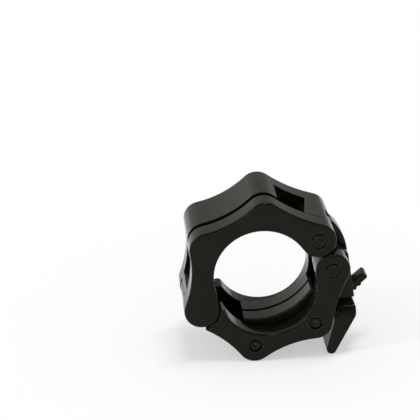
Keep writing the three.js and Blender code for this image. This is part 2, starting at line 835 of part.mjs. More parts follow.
// A screw whose head lies in the recess of the face that it is driven from
function screwAt(group, name, place, face) {
  const screw = piece(group, name, crossHeadScrew(), blackSteel());
  screw.position.set(place.x, face * HALF_WIDTH, place.y);
  if (face > 0) screw.rotation.x = Math.PI;
}

// A steel pin with a black cap over each end
function cappedPin(group, name, place) {
  const end = HALF_WIDTH - CAP_THICKNESS - RUNNING_GAP;
  piece(group, name, rod(place, PIN_RADIUS, -end, end), brightSteel());
  const front = piece(group, name + "_front_cap", pinCap(), blackShell());
  front.position.set(place.x, -HALF_WIDTH, place.y);
  const rear = piece(group, name + "_rear_cap", pinCap(), blackShell());
  rear.position.set(place.x, HALF_WIDTH, place.y);
  rear.rotation.x = Math.PI;
}

function buildLowerJaw(parent) {
  const jaw = groupAt(AXIS, parent);
  piece(jaw, "lower_front_plate", lowerFrontPlate(), blackShell());
  piece(jaw, "lower_rear_housing", lowerRearHousing(), blackShell());
  piece(jaw, "lower_pad", pad(LOWER_SIDE, LOWER_BORE), blackRubber());
  cappedPin(jaw, "lever_pin", LEVER_PIN);
  screwAt(jaw, "catch_screw", CATCH_PIVOT, -1);
  screwAt(jaw, "bottom_screw", BOTTOM_LOBE, -1);
  const pivot = groupAt(CATCH_PIVOT, jaw);
  piece(pivot, "catch_bush", catchBush(), brightSteel());
  piece(pivot, "catch_spring", catchSpring(), brightSteel());
}

function buildUpperJaw(parent) {
  const jaw = groupAt(AXIS, parent);
  const hingeEnd = HALF_WIDTH - HINGE_SKIN - RUNNING_GAP;
  piece(jaw, "upper_front_plate", upperFrontPlate(), blackShell());
  piece(jaw, "upper_rear_housing", upperRearHousing(), blackShell());
  piece(jaw, "upper_pad", pad(UPPER_SIDE, UPPER_BORE), blackRubber());
  piece(jaw, "hinge_pin", rod(HINGE, PIN_RADIUS, -hingeEnd, hingeEnd), brightSteel());
  cappedPin(jaw, "link_pin", LINK_PIN);
  screwAt(jaw, "top_screw", TOP_LOBE, 1);
  screwAt(jaw, "side_screw", SIDE_LOBE, 1);
}

function buildLink(parent) {
  const group = groupAt(LINK_PIN, parent);
  group.rotation.y = -rad(LOWER_SIDE);
  piece(group, "link", link(), blackShell());
}

function buildLever(parent) {
  const group = groupAt(LEVER_PIN, parent);
  piece(group, "lever_fork", leverFork(), blackShell());
  piece(group, "thumb_pad", thumbPad(), blackShell());
  piece(group, "toggle_rivet", toggleRivet(), brightSteel());
}

function buildCatch(parent) {
  const group = groupAt(CATCH_PIVOT, parent);
  piece(group, "release_catch", releaseCatch(), blackShell());
}

// The collar stands on the floor, with its origin under the middle of its outer box.
function buildCollar() {
  const collar = new THREE.Group();
  buildLowerJaw(collar);
  buildUpperJaw(collar);
  buildLink(collar);
  buildLever(collar);
  buildCatch(collar);
  const box = new THREE.Box3().setFromObject(collar);
  collar.position.set(-(box.min.x + box.max.x) / 2, -(box.min.y + box.max.y) / 2, -box.min.z);
  return collar;
}

export default buildCollar();
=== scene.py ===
# Looks of a barbell collar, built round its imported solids. Sizes are in millimetres and angles in
# degrees. Outlines are drawn in the plane of the jaws, as X and Z, and then given depth along Y.
import json
import math

import bmesh
import bpy
from mathutils import Matrix, Vector


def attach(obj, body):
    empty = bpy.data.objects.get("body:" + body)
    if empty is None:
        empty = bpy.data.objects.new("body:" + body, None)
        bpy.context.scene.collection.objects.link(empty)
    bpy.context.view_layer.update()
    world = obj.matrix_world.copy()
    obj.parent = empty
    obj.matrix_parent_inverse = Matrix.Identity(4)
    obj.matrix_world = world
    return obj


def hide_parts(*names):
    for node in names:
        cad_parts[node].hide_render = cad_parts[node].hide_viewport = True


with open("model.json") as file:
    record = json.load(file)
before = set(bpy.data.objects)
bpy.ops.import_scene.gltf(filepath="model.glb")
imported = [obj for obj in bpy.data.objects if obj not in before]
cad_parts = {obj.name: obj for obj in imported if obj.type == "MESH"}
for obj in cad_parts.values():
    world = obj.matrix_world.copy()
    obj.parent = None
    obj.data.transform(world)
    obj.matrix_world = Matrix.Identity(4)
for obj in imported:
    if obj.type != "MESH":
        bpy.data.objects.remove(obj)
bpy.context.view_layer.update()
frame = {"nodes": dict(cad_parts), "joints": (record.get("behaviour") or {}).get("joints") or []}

# ---- Lower jaw, front half shell
# Moulded black nylon with softly rounded edges. It carries the lever pin under a black cap, and two
# cross-head screws in round recesses: one in its bottom lobe and one at the catch's pivot.
MM = 0.001
COLLAR_WIDTH = 46
HALF_WIDTH = COLLAR_WIDTH / 2
PLATE_THICKNESS = 11.5
CHANNEL = HALF_WIDTH - PLATE_THICKNESS
RUNNING_GAP = 0.3
PIN_CIRCLE = 36.7
PARTING_ANGLE = 24.5
PIN_ANGLE = 15
NEAR_LOBE_ANGLE = 66
FAR_LOBE_ANGLE = 122
LOBE_RADIUS = PIN_CIRCLE * math.sin(math.radians(PIN_ANGLE)) - RUNNING_GAP / 2
BORE_RADIUS = 26.2
BORE_OFFSET = 4.45
TIP_ROUND = 1
WIDE_HOLLOW = 2.4
END_HOLLOW = 1.45
FRONT_EDGE = 1.1
SEAM_EDGE = 0.5
OVERRUN = 1
ARC_STEP = math.radians(4)
EDGE_STEPS = 4
ROUND_SIDES = 48
SHARP_BEND = math.radians(40)
CREASE_ANGLE = math.radians(35)
SAME_POINT = 0.05
CAP_RECESS = (4.25, 1.8)
SCREW_RECESS = (3.7, 2.5)
RECESS_LIP = 0.15
PIN_HOLE_RADIUS = 3.3
SCREW_HOLE_RADIUS = 1.9
WARM_SHINE = (1, 0.93, 0.8, 1)
# Reach of the edge mask, for rubbed edges and their painted highlight.
WEAR_AND_HIGHLIGHT_REACH = 0.7
NYLON_DARK = (0.0055, 0.0051, 0.0038)
NYLON_LIGHT = (0.008, 0.0074, 0.0056)
NYLON_DUST = (0.16, 0.14, 0.115)
# Colour of rubbed edges, partly a painted highlight.
NYLON_RUBBED_AND_HIGHLIT = (0.1, 0.098, 0.09)


def polar(angle, radius, centre):
    turn = math.radians(angle)
    return Vector((centre.x + radius * math.cos(turn), centre.y + radius * math.sin(turn)))


def pivot(joint_name):
    """Where a joint of the frame lies in the plane of the jaws."""
    place = next(joint["pos_m"] for joint in frame["joints"] if joint["name"] == joint_name)
    return Vector((place[0], place[2])) / MM


LEVER_PIN = pivot("lever_swing")
LINK_PIN = pivot("link_pivot")
HINGE = pivot("jaw_opening")
CATCH_PIVOT = pivot("catch_press")
AXIS = polar(PARTING_ANGLE, PIN_CIRCLE, HINGE)
BOTTOM_LOBE = polar(PARTING_ANGLE - FAR_LOBE_ANGLE, PIN_CIRCLE, AXIS)
LOWER_SIDE = PARTING_ANGLE - 90
LOWER_BORE = polar(LOWER_SIDE, BORE_OFFSET, AXIS)


def crossing(first, first_radius, second, second_radius):
    """Where two circles cross, on the right of the way from the first centre to the second."""
    reach = second - first
    span = reach.length
    along = (span**2 + first_radius**2 - second_radius**2) / (2 * span)
    aside = math.sqrt(first_radius**2 - along**2)
    way = reach / span
    return first + along * way + aside * Vector((way.y, -way.x))


def hollow(first_angle, second_angle, depth):
    """The hollow round between two lobes, that deep below the line that touches both."""
    foot = PIN_CIRCLE * math.cos(math.radians((second_angle - first_angle) / 2))
    waist = foot + LOBE_RADIUS - depth
    top = LOBE_RADIUS**2 - waist**2 + 2 * waist * foot - PIN_CIRCLE**2
    radius = top / (2 * (waist - foot - LOBE_RADIUS))
    return polar(PARTING_ANGLE + (first_angle + second_angle) / 2, radius + waist, AXIS), -radius


def outline(rounds):
    """A closed outline round circles joined by the lines that touch them, anticlockwise.
    A positive radius rounds a corner, a negative one hollows it, and zero leaves it sharp."""
    headings = []
    for (centre, bend), (following, next_bend) in zip(rounds, rounds[1:] + rounds[:1]):
        reach = following - centre
        share = max(-1, min(1, (bend - next_bend) / reach.length))
        headings.append(math.atan2(reach.y, reach.x) - math.acos(share))
    points = []
    for index, (centre, bend) in enumerate(rounds):
        start = headings[index - 1] + (math.pi if bend < 0 else 0)
        sweep = (headings[index] - headings[index - 1]) % math.tau
        if math.tau - sweep < math.radians(1):
            sweep = 0
        if bend < 0 and sweep > 0:
            sweep -= math.tau
        steps = math.ceil(abs(sweep) / ARC_STEP) if bend else 0
        for step in range(steps + 1):
            angle = start + (sweep * step / steps if steps else 0)
            spot = centre + abs(bend) * Vector((math.cos(angle), math.sin(angle)))
            if not points or (points[-1] - spot).length > SAME_POINT:
                points.append(spot)
    if (points[0] - points[-1]).length <= SAME_POINT:
        points.pop()
    return points


def inset(points, margin):
    """An outline moved inwards by a margin, with as many points."""
    moved = []
    for index, spot in enumerate(points):
        before = (spot - points[index - 1]).normalized()
        after = (points[(index + 1) % len(points)] - spot).normalized()
        inward = Vector((-before.y - after.y, before.x + after.x))
        moved.append(spot + inward * (margin / (1 + before.dot(after))))
    return moved


def round_off(edge):
    """Depths and margins of a quarter round, from the face to the side."""
    turns = [math.pi / 2 * step / EDGE_STEPS for step in range(EDGE_STEPS + 1)]
    return [(edge * (1 - math.cos(turn)), edge * (1 - math.sin(turn))) for turn in turns]


def rounded(front, rear, front_edge, rear_edge):
    """Depths and margins of a body between two faces with round edges."""
    first = [(front + deep, margin) for deep, margin in round_off(front_edge)]
    last = [(rear - deep, margin) for deep, margin in reversed(round_off(rear_edge))]
    return first + last


def lipped(face, floor, lip):
    """Depths and margins of a recess's cutter, from outside a face to its floor, with a round lip."""
    way = 1 if floor > face else -1
    mouth = [(face + way * deep, -margin) for deep, margin in round_off(lip)]
    return [(face - way * OVERRUN, -lip)] + mouth + [(floor, 0)]


def straight(front, rear):
    return [(front, 0), (rear, 0)]


def stood(name, data):
    """A new object, put in the scene."""
    made = bpy.data.objects.new(name, data)
    bpy.context.scene.collection.objects.link(made)
    return made


def meshed(name, maker):
    """A new object from a bmesh, which is then freed."""
    mesh = bpy.data.meshes.new(name)
    maker.to_mesh(mesh)
    maker.free()
    return stood(name, mesh)


def loft(name, loops):
    """A closed body through loops of points, with a face over each end."""
    maker = bmesh.new()
    rings = [[maker.verts.new(spot) for spot in loop] for loop in loops]
    for ring, following in zip(rings, rings[1:]):
        for index in range(len(ring)):
            maker.faces.new((ring[index - 1], ring[index], following[index], following[index - 1]))
    maker.faces.new(rings[0])
    maker.faces.new(rings[-1])
    bmesh.ops.recalc_face_normals(maker, faces=maker.faces)
    return meshed(name, maker)


def slab(name, points, layers):
    """An outline given its depth, by places along Y with the margin that it is inset by there."""
    loops = []
    for depth, margin in layers:
        loops.append([(spot.x, depth, spot.y) for spot in inset(points, margin)])
    return loft(name, loops)


def disc(centre, radius, sides=ROUND_SIDES):
    return [polar(360 * side / sides, radius, centre) for side in range(sides)]


def through(name, points, half_width):
    """An outline carried as far to the front as to the rear."""
    return slab(name, points, straight(-half_width, half_width))


def rod(name, centre, radius, half_width):
    return through(name, disc(centre, radius), half_width)


def moulding(name, points, half_width, edge):
    """An outline carried to both sides like that, with round edges."""
    return slab(name, points, rounded(-half_width, half_width, edge, edge))


def baked(piece):
    """Puts a piece's modifiers into its mesh."""
    graph = bpy.context.evaluated_depsgraph_get()
    mesh = bpy.data.meshes.new_from_object(piece.evaluated_get(graph))
    piece.modifiers.clear()
    piece.data = mesh
    return piece


def combined(piece, operation, others):
    for other in others:
        step = piece.modifiers.new(other.name, "BOOLEAN")
        step.operation = operation
        step.solver = "EXACT"
        step.object = other
    baked(piece)
    for other in others:
        bpy.data.objects.remove(other)
    return piece


def without(piece, *tools):
    return combined(piece, "DIFFERENCE", tools)


def joined(piece, *others):
    return combined(piece, "UNION", others)


def softened(piece, width, where):
    """Rounds the sharp outer edges whose middle lies where the test says."""
    maker = bmesh.new()
    maker.from_mesh(piece.data)
    edges = []
    for edge in maker.edges:
        if len(edge.link_faces) != 2 or not edge.is_convex:
            continue
        middle = (edge.verts[0].co + edge.verts[1].co) / 2
        if edge.calc_face_angle() >= SHARP_BEND and where(middle):
            edges.append(edge)
    bmesh.ops.bevel(
        maker, geom=edges, offset=width, segments=3, profile=0.5, affect="EDGES", clamp_overlap=True
    )
    maker.to_mesh(piece.data)
    maker.free()
    return piece


def placed(piece, body, node, material):
    """Brings a finished piece to metres, shades it, and puts it on its body in a node's stead."""
    piece.data.transform(Matrix.Scale(MM, 4))
    piece.data.materials.clear()
    piece.data.materials.append(material)
    piece.data.shade_smooth()
    piece.data.set_sharp_from_angle(angle=CREASE_ANGLE)
    normals = piece.modifiers.new("face_weighted_normals", "WEIGHTED_NORMAL")
    normals.keep_sharp = True
    baked(piece)
    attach(piece, body)
    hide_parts(node)
    return piece


def node_group(name, outputs):
    """A shader group and its end node, with outputs given as name and socket type."""
    group = bpy.data.node_groups.new(name, "ShaderNodeTree")
    for socket, kind in outputs:
        group.interface.new_socket(socket, in_out="OUTPUT", socket_type=kind)
    return group, group.nodes.new("NodeGroupOutput")


def own_place(tree):
    return tree.nodes.new("ShaderNodeTexCoord").outputs["Object"]


def noise(tree, per_mm, detail):
    """A noise in the piece's own coordinates, with that many features per millimetre."""
    texture = tree.nodes.new("ShaderNodeTexNoise")
    texture.inputs["Scale"].default_value = per_mm / MM
    texture.inputs["Detail"].default_value = detail
    tree.links.new(own_place(tree), texture.inputs["Vector"])
    return texture.outputs["Fac"]


def remapped(tree, value, source, target):
    """A value taken from one range to another, and held within it."""
    scaled = tree.nodes.new("ShaderNodeMapRange")
    for socket, level in zip(("From Min", "From Max", "To Min", "To Max"), (*source, *target)):
        scaled.inputs[socket].default_value = level
    tree.links.new(value, scaled.inputs["Value"])
    return scaled.outputs["Result"]


def worked_out(tree, operation, first, second):
    """One value made of two, by a maths operation."""
    node = tree.nodes.new("ShaderNodeMath")
    node.operation = operation
    tree.links.new(first, node.inputs[0])
    tree.links.new(second, node.inputs[1])
    return node.outputs["Value"]


def product(tree, first, second):
    return worked_out(tree, "MULTIPLY", first, second)


def moulded_grain():
    """The fine spark-eroded grain of a moulding tool: a bumped normal and a broad mottling mask."""
    outputs = [("Normal", "NodeSocketVector"), ("Mottle", "NodeSocketFloat")]
    group, end = node_group("moulded_grain", outputs)
    bump = group.nodes.new("ShaderNodeBump")
    bump.inputs["Strength"].default_value = 0.12
    bump.inputs["Distance"].default_value = 0.05 * MM
    group.links.new(noise(group, per_mm=2.2, detail=4), bump.inputs["Height"])
    group.links.new(bump.outputs["Normal"], end.inputs["Normal"])
    clouds = noise(group, per_mm=0.09, detail=5)
    group.links.new(remapped(group, clouds, (0.35, 0.65), (0, 1)), end.inputs["Mottle"])
    return group


def edge_wear_and_highlight():
    """Where edges are rubbed and get a painted highlight: the rounded normal leaves the face's own,
    broken up by noise.
    """
    group, end = node_group("edge_wear_and_highlight", [("Mask", "NodeSocketFloat")])
    geometry = group.nodes.new("ShaderNodeNewGeometry")
    bevel = group.nodes.new("ShaderNodeBevel")
    bevel.samples = 6
    bevel.inputs["Radius"].default_value = WEAR_AND_HIGHLIGHT_REACH * MM
    along = group.nodes.new("ShaderNodeVectorMath")
    along.operation = "DOT_PRODUCT"
    group.links.new(geometry.outputs["Normal"], along.inputs[0])
    group.links.new(bevel.outputs["Normal"], along.inputs[1])
    worn_and_highlit = remapped(group, along.outputs["Value"], (0.995, 0.9), (0, 1))
    rubbed = remapped(group, noise(group, per_mm=0.4, detail=3), (0.4, 0.65), (0.25, 1))
    group.links.new(product(group, worn_and_highlit, rubbed), end.inputs["Mask"])
    return group


def settled_dust():
    """Where fine dust lies: on faces that look up, in drifts."""
    group, end = node_group("settled_dust", [("Mask", "NodeSocketFloat")])
    geometry = group.nodes.new("ShaderNodeNewGeometry")
    parts = group.nodes.new("ShaderNodeSeparateXYZ")
    group.links.new(geometry.outputs["Normal"], parts.inputs["Vector"])
    upward = remapped(group, parts.outputs["Z"], (0.2, 1), (0, 1))
    drifts = remapped(group, noise(group, per_mm=0.15, detail=6), (0.35, 0.75), (0.2, 1))
    group.links.new(product(group, upward, drifts), end.inputs["Mask"])
    return group


SHARED = {"grain": moulded_grain(), "wear_and_highlight": edge_wear_and_highlight(), "dust": settled_dust()}


def grouped(tree, name, output):
    node = tree.nodes.new("ShaderNodeGroup")
    node.node_tree = SHARED[name]
    return node.outputs[output]


def blended(tree, mask, first, second):
    """Two colours mixed by a mask. Each is a colour or another node's output."""
    mix = tree.nodes.new("ShaderNodeMix")
    mix.data_type = "RGBA"
    tree.links.new(mask, mix.inputs["Factor"])
    for colour, socket in ((first, mix.inputs[6]), (second, mix.inputs[7])):
        if isinstance(colour, tuple):
            socket.default_value = (*colour, 1)
        else:
            tree.links.new(colour, socket)
    return mix.outputs[2]


def surface(name, specular, metallic=0):
    """A material with its shader, whose even values are set on the shader itself."""
    material = bpy.data.materials.new(name)
    material.use_nodes = True
    shader = material.node_tree.nodes["Principled BSDF"]
    shader.inputs["Specular IOR Level"].default_value = specular
    shader.inputs["Metallic"].default_value = metallic
    shader.inputs["Specular Tint"].default_value = WARM_SHINE
    return material, material.node_tree, shader


def moulded(name, specular, tones, roughness, dust, dust_share):
    """A moulding's surface: mottled, with a fine grain, and dusty on top."""
    material, tree, shader = surface(name, specular)
    mottle = grouped(tree, "grain", "Mottle")
    plain = blended(tree, mottle, *tones)
    dusty = remapped(tree, grouped(tree, "dust", "Mask"), (0, 1), (0, dust_share))
    dusted = blended(tree, dusty, plain, dust)
    tree.links.new(dusted, shader.inputs["Base Color"])
    tree.links.new(remapped(tree, mottle, (0, 1), roughness), shader.inputs["Roughness"])
    tree.links.new(grouped(tree, "grain", "Normal"), shader.inputs["Normal"])
    return material, tree, shader, dusted


def black_nylon(name):
    """Moulded nylon with some gloss, paler and more polished where its edges are rubbed, the paler
    edges partly a painted highlight.
    """
    material, tree, shader, dusted = moulded(
        name,
        specular=0.14,
        tones=(NYLON_DARK, NYLON_LIGHT),
        roughness=(0.09, 0.14),
        dust=NYLON_DUST,
        dust_share=0.04,
    )
    wear_and_highlight = grouped(tree, "wear_and_highlight", "Mask")
    worn_and_highlit = remapped(tree, wear_and_highlight, (0, 1), (0, 0.12))
    # Paler edges: rubbed nylon and, in part, a painted highlight.
    tree.links.new(blended(tree, worn_and_highlit, dusted, NYLON_RUBBED_AND_HIGHLIT), shader.inputs["Base Color"])
    tree.links.new(wear_and_highlight, shader.inputs["Coat Weight"])
    shader.inputs["Coat Roughness"].default_value = 0.08
    return material


shell = black_nylon("black_shell")


def lower_outline(bore_radius, bore_centre, tip_round):
    heel_round = 1.2
    seam = LOBE_RADIUS + RUNNING_GAP
    waist = hollow(-180, -FAR_LOBE_ANGLE, WIDE_HOLLOW)
    heel = crossing(waist[0], heel_round - waist[1], HINGE, seam + heel_round)
    tip = crossing(HINGE, seam + tip_round, bore_centre, bore_radius + tip_round)
    rounds = [
        (LEVER_PIN, LOBE_RADIUS),
        (bore_centre, -bore_radius),
        (tip, tip_round),
        (HINGE, -seam),
        (heel, heel_round),
        waist,
        (BOTTOM_LOBE, LOBE_RADIUS),
        hollow(-FAR_LOBE_ANGLE, -NEAR_LOBE_ANGLE, WIDE_HOLLOW),
        (CATCH_PIVOT, LOBE_RADIUS),
        hollow(-NEAR_LOBE_ANGLE, -PIN_ANGLE, END_HOLLOW),
    ]
    return outline(rounds)


def pin_hole(centre):
    return rod("pin_hole", centre, PIN_HOLE_RADIUS, HALF_WIDTH + OVERRUN)


def screw_hole(centre):
    """It stops short of the rear face, which stays closed over it."""
    layers = straight(-HALF_WIDTH - OVERRUN, HALF_WIDTH - RUNNING_GAP)
    return slab("screw_hole", disc(centre, SCREW_HOLE_RADIUS), layers)


def recess(centre, face, size):
    """A round recess in the front or the rear face, its size given as radius and depth."""
    radius, depth = size
    layers = lipped(face * HALF_WIDTH, face * (HALF_WIDTH - depth), RECESS_LIP)
    return slab("recess", disc(centre, radius), layers)


FRONT_LAYERS = rounded(-HALF_WIDTH, -CHANNEL, FRONT_EDGE, SEAM_EDGE)
REAR_LAYERS = rounded(CHANNEL, HALF_WIDTH, SEAM_EDGE, FRONT_EDGE)

lower_ring = lower_outline(BORE_RADIUS, LOWER_BORE, TIP_ROUND)
lower_front = without(
    slab("lower_front_shell", lower_ring, FRONT_LAYERS),
    recess(LEVER_PIN, -1, CAP_RECESS),
    pin_hole(LEVER_PIN),
    recess(BOTTOM_LOBE, -1, SCREW_RECESS),
    screw_hole(BOTTOM_LOBE),
    recess(CATCH_PIVOT, -1, SCREW_RECESS),
    screw_hole(CATCH_PIVOT),
)
placed(lower_front, "lower_jaw", "lower_front_plate", shell)

# ---- Lower jaw, rear half shell
# The deep half: a flange like the front one and, on its front, the web that the pad sits in. The web
# leaves room for the lever's hub and arms and for the catch, and ends in the hinge's middle knuckle.
REAR_LIP = 0.6
REAR_LIP_TURN = 6
REAR_TIP_ROUND = 3
SEAT_RADIUS = 27.2
OUTSIDE_RADIUS = PIN_CIRCLE + 2 * LOBE_RADIUS
POCKET_HALF_ANGLE = 46.5
POCKET_RADIUS = 33
POCKET_SPAN = 48
KNUCKLE_NECK_ANGLE = 162
KNUCKLE_NECK_RADIUS = 2.2
HUB_CLEARANCE = 0.8
BAY_EDGE = 30


def sector(centre, inner, outer, start, end):
    """A piece of a ring about a centre, between two radii and two angles."""
    steps = math.ceil(math.radians(end - start) / ARC_STEP)
    turns = [start + (end - start) * step / steps for step in range(steps + 1)]
    outside = [polar(turn, outer, centre) for turn in turns]
    return outside + [polar(turn, inner, centre) for turn in reversed(turns)]


WEB_LAYERS = straight(RUNNING_GAP - CHANNEL, CHANNEL + OVERRUN)


def across_web(name, points):
    """A cutter through all of the web, which stops at the flange."""
    return slab(name, points, straight(-HALF_WIDTH, CHANNEL))


def lever_bay():
    foot = CATCH_PIVOT.y + LOBE_RADIUS - 2 * HUB_CLEARANCE
    side = LEVER_PIN.x + BAY_EDGE
    rounds = [
        (LEVER_PIN, LOBE_RADIUS + RUNNING_GAP),
        (Vector((LEVER_PIN.x + RUNNING_GAP / 2, foot)), 0),
        (Vector((side, foot)), 0),
        (Vector((side, LEVER_PIN.y + LOBE_RADIUS)), 0),
    ]
    return across_web("lever_bay", outline(rounds))


def catch_bay():
    bay_radius = 6.2
    root = Vector((11.7, 1.4))
    back = Vector((8.5, 13))
    rounds = [(CATCH_PIVOT, bay_radius)]
    for reach in (root, Vector((BAY_EDGE, root.y)), Vector((BAY_EDGE, back.y)), back):
        rounds.append((CATCH_PIVOT + reach, 0))
    return across_web("catch_bay", outline(rounds))


def lower_knuckle():
    neck = polar(PARTING_ANGLE - KNUCKLE_NECK_ANGLE, PIN_CIRCLE, AXIS)
    ring = outline([(HINGE, LOBE_RADIUS - RUNNING_GAP), (neck, KNUCKLE_NECK_RADIUS)])
    return moulding("knuckle", ring, CHANNEL - 2 * RUNNING_GAP, SEAM_EDGE)


def lower_web():
    pad_start = LOWER_SIDE - POCKET_HALF_ANGLE
    pad_end = LOWER_SIDE + POCKET_HALF_ANGLE
    pocket = sector(LOWER_BORE, BORE_RADIUS, POCKET_RADIUS, pad_start - POCKET_SPAN, pad_start)
    upper_end = sector(AXIS, BORE_RADIUS, OUTSIDE_RADIUS, pad_end, PARTING_ANGLE)
    outer = lower_outline(SEAT_RADIUS, LOWER_BORE, TIP_ROUND)
    return without(
        slab("lower_web", outer, WEB_LAYERS),
        across_web("pocket", pocket),
        across_web("upper_end", upper_end),
        lever_bay(),
        catch_bay(),
    )


rear_bore = polar(LOWER_SIDE + REAR_LIP_TURN, BORE_OFFSET - REAR_LIP, AXIS)
rear_outline = lower_outline(BORE_RADIUS - REAR_LIP, rear_bore, REAR_TIP_ROUND)
lower_rear = joined(
    slab("lower_rear_shell", rear_outline, REAR_LAYERS),
    lower_web(),
    lower_knuckle(),
)
without(
    lower_rear,
    recess(LEVER_PIN, 1, CAP_RECESS),
    pin_hole(LEVER_PIN),
    screw_hole(BOTTOM_LOBE),
    screw_hole(CATCH_PIVOT),
    rod("hinge_bore", HINGE, PIN_HOLE_RADIUS, CHANNEL),
)
placed(lower_rear, "lower_jaw", "lower_rear_housing", shell)

# ---- Upper jaw, front half shell
# The mirror of the lower one, with full round lobes at both ends: one over the hinge, and one over the
# link pin, whose black cap lies flush in a ring groove. Its screws come in from the rear.
TOP_LOBE = polar(PARTING_ANGLE + NEAR_LOBE_ANGLE, PIN_CIRCLE, AXIS)
SIDE_LOBE = polar(PARTING_ANGLE + FAR_LOBE_ANGLE, PIN_CIRCLE, AXIS)
UPPER_SIDE = PARTING_ANGLE + 90
UPPER_BORE = polar(UPPER_SIDE, BORE_OFFSET, AXIS)
UPPER_LIP = 0.5
UPPER_LIP_TURN = -7


def upper_rim():
    return [
        (LINK_PIN, LOBE_RADIUS),
        hollow(PIN_ANGLE, NEAR_LOBE_ANGLE, END_HOLLOW),
        (TOP_LOBE, LOBE_RADIUS),
        hollow(NEAR_LOBE_ANGLE, FAR_LOBE_ANGLE, WIDE_HOLLOW),
        (SIDE_LOBE, LOBE_RADIUS),
        hollow(FAR_LOBE_ANGLE, 180, WIDE_HOLLOW),
        (HINGE, LOBE_RADIUS),
    ]


def upper_outline(bore_radius, bore_centre):
    return outline([*upper_rim(), (bore_centre, -bore_radius)])


upper_centre = polar(UPPER_SIDE + UPPER_LIP_TURN, BORE_OFFSET, AXIS)
upper_ring = upper_outline(BORE_RADIUS - UPPER_LIP, upper_centre)
upper_front = without(
    slab("upper_front_shell", upper_ring, FRONT_LAYERS),
    recess(LINK_PIN, -1, CAP_RECESS),
    pin_hole(LINK_PIN),
)
placed(upper_front, "upper_jaw", "upper_front_plate", shell)

# ---- Upper jaw, rear half shell
# The deep half of the upper jaw. Its outer wall is set back in a dark groove behind the front shell,
# a window opens it beside the link pin and another above the hinge, and a slot takes the link.
GROOVE_WIDTH = 3.9
GROOVE_DEPTH = 2.5
HOUSING_FRONT = GROOVE_WIDTH - CHANNEL
HOUSING_EDGE = 0.9
BOSS_EDGE = 1.8
WINDOW_FLOOR = 33.8
TOP_WINDOW = (50, 80)
SIDE_WINDOW = (166, 190)
AWAY_FROM_HINGE = (-110, 192)
BOSS_FRONT = LINK_PIN.x - 7
BOSS_REAR = LINK_PIN.x - 3.1
BOSS_STRETCH = 1.25
BARREL_SETBACK = 1.15
KNUCKLE_SIDES = 90
LINK_HUB_ROOM = 6.6
LINK_SWING = (-140, 48)
LINK_SWING_RADIUS = 14
ARM_FACE = CHANNEL - RUNNING_GAP
ARM_THICKNESS = 6.2
ARM_INSIDE = ARM_FACE - ARM_THICKNESS


def shadow_groove():
    core = outline([(centre, bend - GROOVE_DEPTH) for centre, bend in upper_rim()])
    stretch = sector(AXIS, BORE_RADIUS, OUTSIDE_RADIUS, TOP_WINDOW[1], SIDE_WINDOW[0])
    return without(
        slab("shadow_groove", stretch, straight(-HALF_WIDTH, HOUSING_FRONT)),
        slab("groove_core", core, straight(-HALF_WIDTH - OVERRUN, HOUSING_FRONT + OVERRUN)),
    )


def window(name, angles):
    hole = sector(AXIS, WINDOW_FLOOR, OUTSIDE_RADIUS, *angles)
    return slab(name, hole, straight(-CHANNEL - OVERRUN, CHANNEL))


def link_boss():
    """What stays at the right of the top window: a barrel and a wall slanting from front to rear."""
    side = AXIS.x + OUTSIDE_RADIUS
    foot = AXIS.y
    top = AXIS.y + OUTSIDE_RADIUS
    loops = []
    for face, wall in ((-CHANNEL, BOSS_FRONT), (CHANNEL, BOSS_REAR)):
        ring = ((wall, foot), (side, foot), (side, top), (wall, top))
        loops.append([(x, BOSS_STRETCH * face, z) for x, z in ring])
    barrel = rod("boss_barrel", LINK_PIN, LOBE_RADIUS - BARREL_SETBACK, HALF_WIDTH)
    return loft("boss_wall", loops), barrel


def link_slot():
    swing = sector(LINK_PIN, RUNNING_GAP, LINK_SWING_RADIUS, *LINK_SWING)
    hub_room = rod("link_slot", LINK_PIN, LINK_HUB_ROOM, ARM_INSIDE)
    return joined(hub_room, through("link_swing", swing, ARM_INSIDE))


def on_boss(place):
    """Along the top of the boss's slanting wall."""
    share = (place.y + CHANNEL) / (2 * CHANNEL)
    wall = BOSS_FRONT + (BOSS_REAR - BOSS_FRONT) * share
    near = abs(place.x - wall) < 3 * SAME_POINT
    return near and abs(place.y) < CHANNEL and place.z > LINK_PIN.y


def on_outer_skin(place):
    """Outside the windows' floor, where an edge of the housing shows."""
    spot = Vector((place.x, place.z)) - AXIS
    angle = math.degrees(math.atan2(spot.y, spot.x)) % 360
    if spot.length <= WINDOW_FLOOR + OVERRUN or on_boss(place):
        return False
    if abs(place.y - HOUSING_FRONT) < SAME_POINT and TOP_WINDOW[1] < angle < SIDE_WINDOW[0]:
        return True
    windows = (TOP_WINDOW, SIDE_WINDOW)
    at_window = any(start - OVERRUN < angle < end + OVERRUN for start, end in windows)
    return at_window and place.y < CHANNEL + OVERRUN


def hinge_skin():
    """The bore's wall over the middle knuckle, flush with the front shell's bore."""
    elsewhere = sector(AXIS, RUNNING_GAP, 2 * OUTSIDE_RADIUS, *AWAY_FROM_HINGE)
    away = through("elsewhere", elsewhere, HALF_WIDTH)
    return without(slab("hinge_skin", upper_ring, WEB_LAYERS), away)


def knuckle_room():
    ring = disc(HINGE, LOBE_RADIUS + RUNNING_GAP, KNUCKLE_SIDES)
    return slab("knuckle_room", ring, straight(-HALF_WIDTH, CHANNEL - RUNNING_GAP))


upper_rear = joined(
    slab("upper_rear_shell", upper_ring, REAR_LAYERS),
    slab("upper_web", upper_outline(SEAT_RADIUS, UPPER_BORE), WEB_LAYERS),
    hinge_skin(),
)
without(
    upper_rear,
    shadow_groove(),
    without(window("top_window", TOP_WINDOW), *link_boss()),
    window("side_window", SIDE_WINDOW),
    knuckle_room(),
    link_slot(),
    recess(LINK_PIN, 1, CAP_RECESS),
    pin_hole(LINK_PIN),
    recess(TOP_LOBE, 1, SCREW_RECESS),
    recess(SIDE_LOBE, 1, SCREW_RECESS),
)
softened(upper_rear, BOSS_EDGE, on_boss)
softened(upper_rear, HOUSING_EDGE, on_outer_skin)
placed(upper_rear, "upper_jaw", "upper_rear_housing", shell)

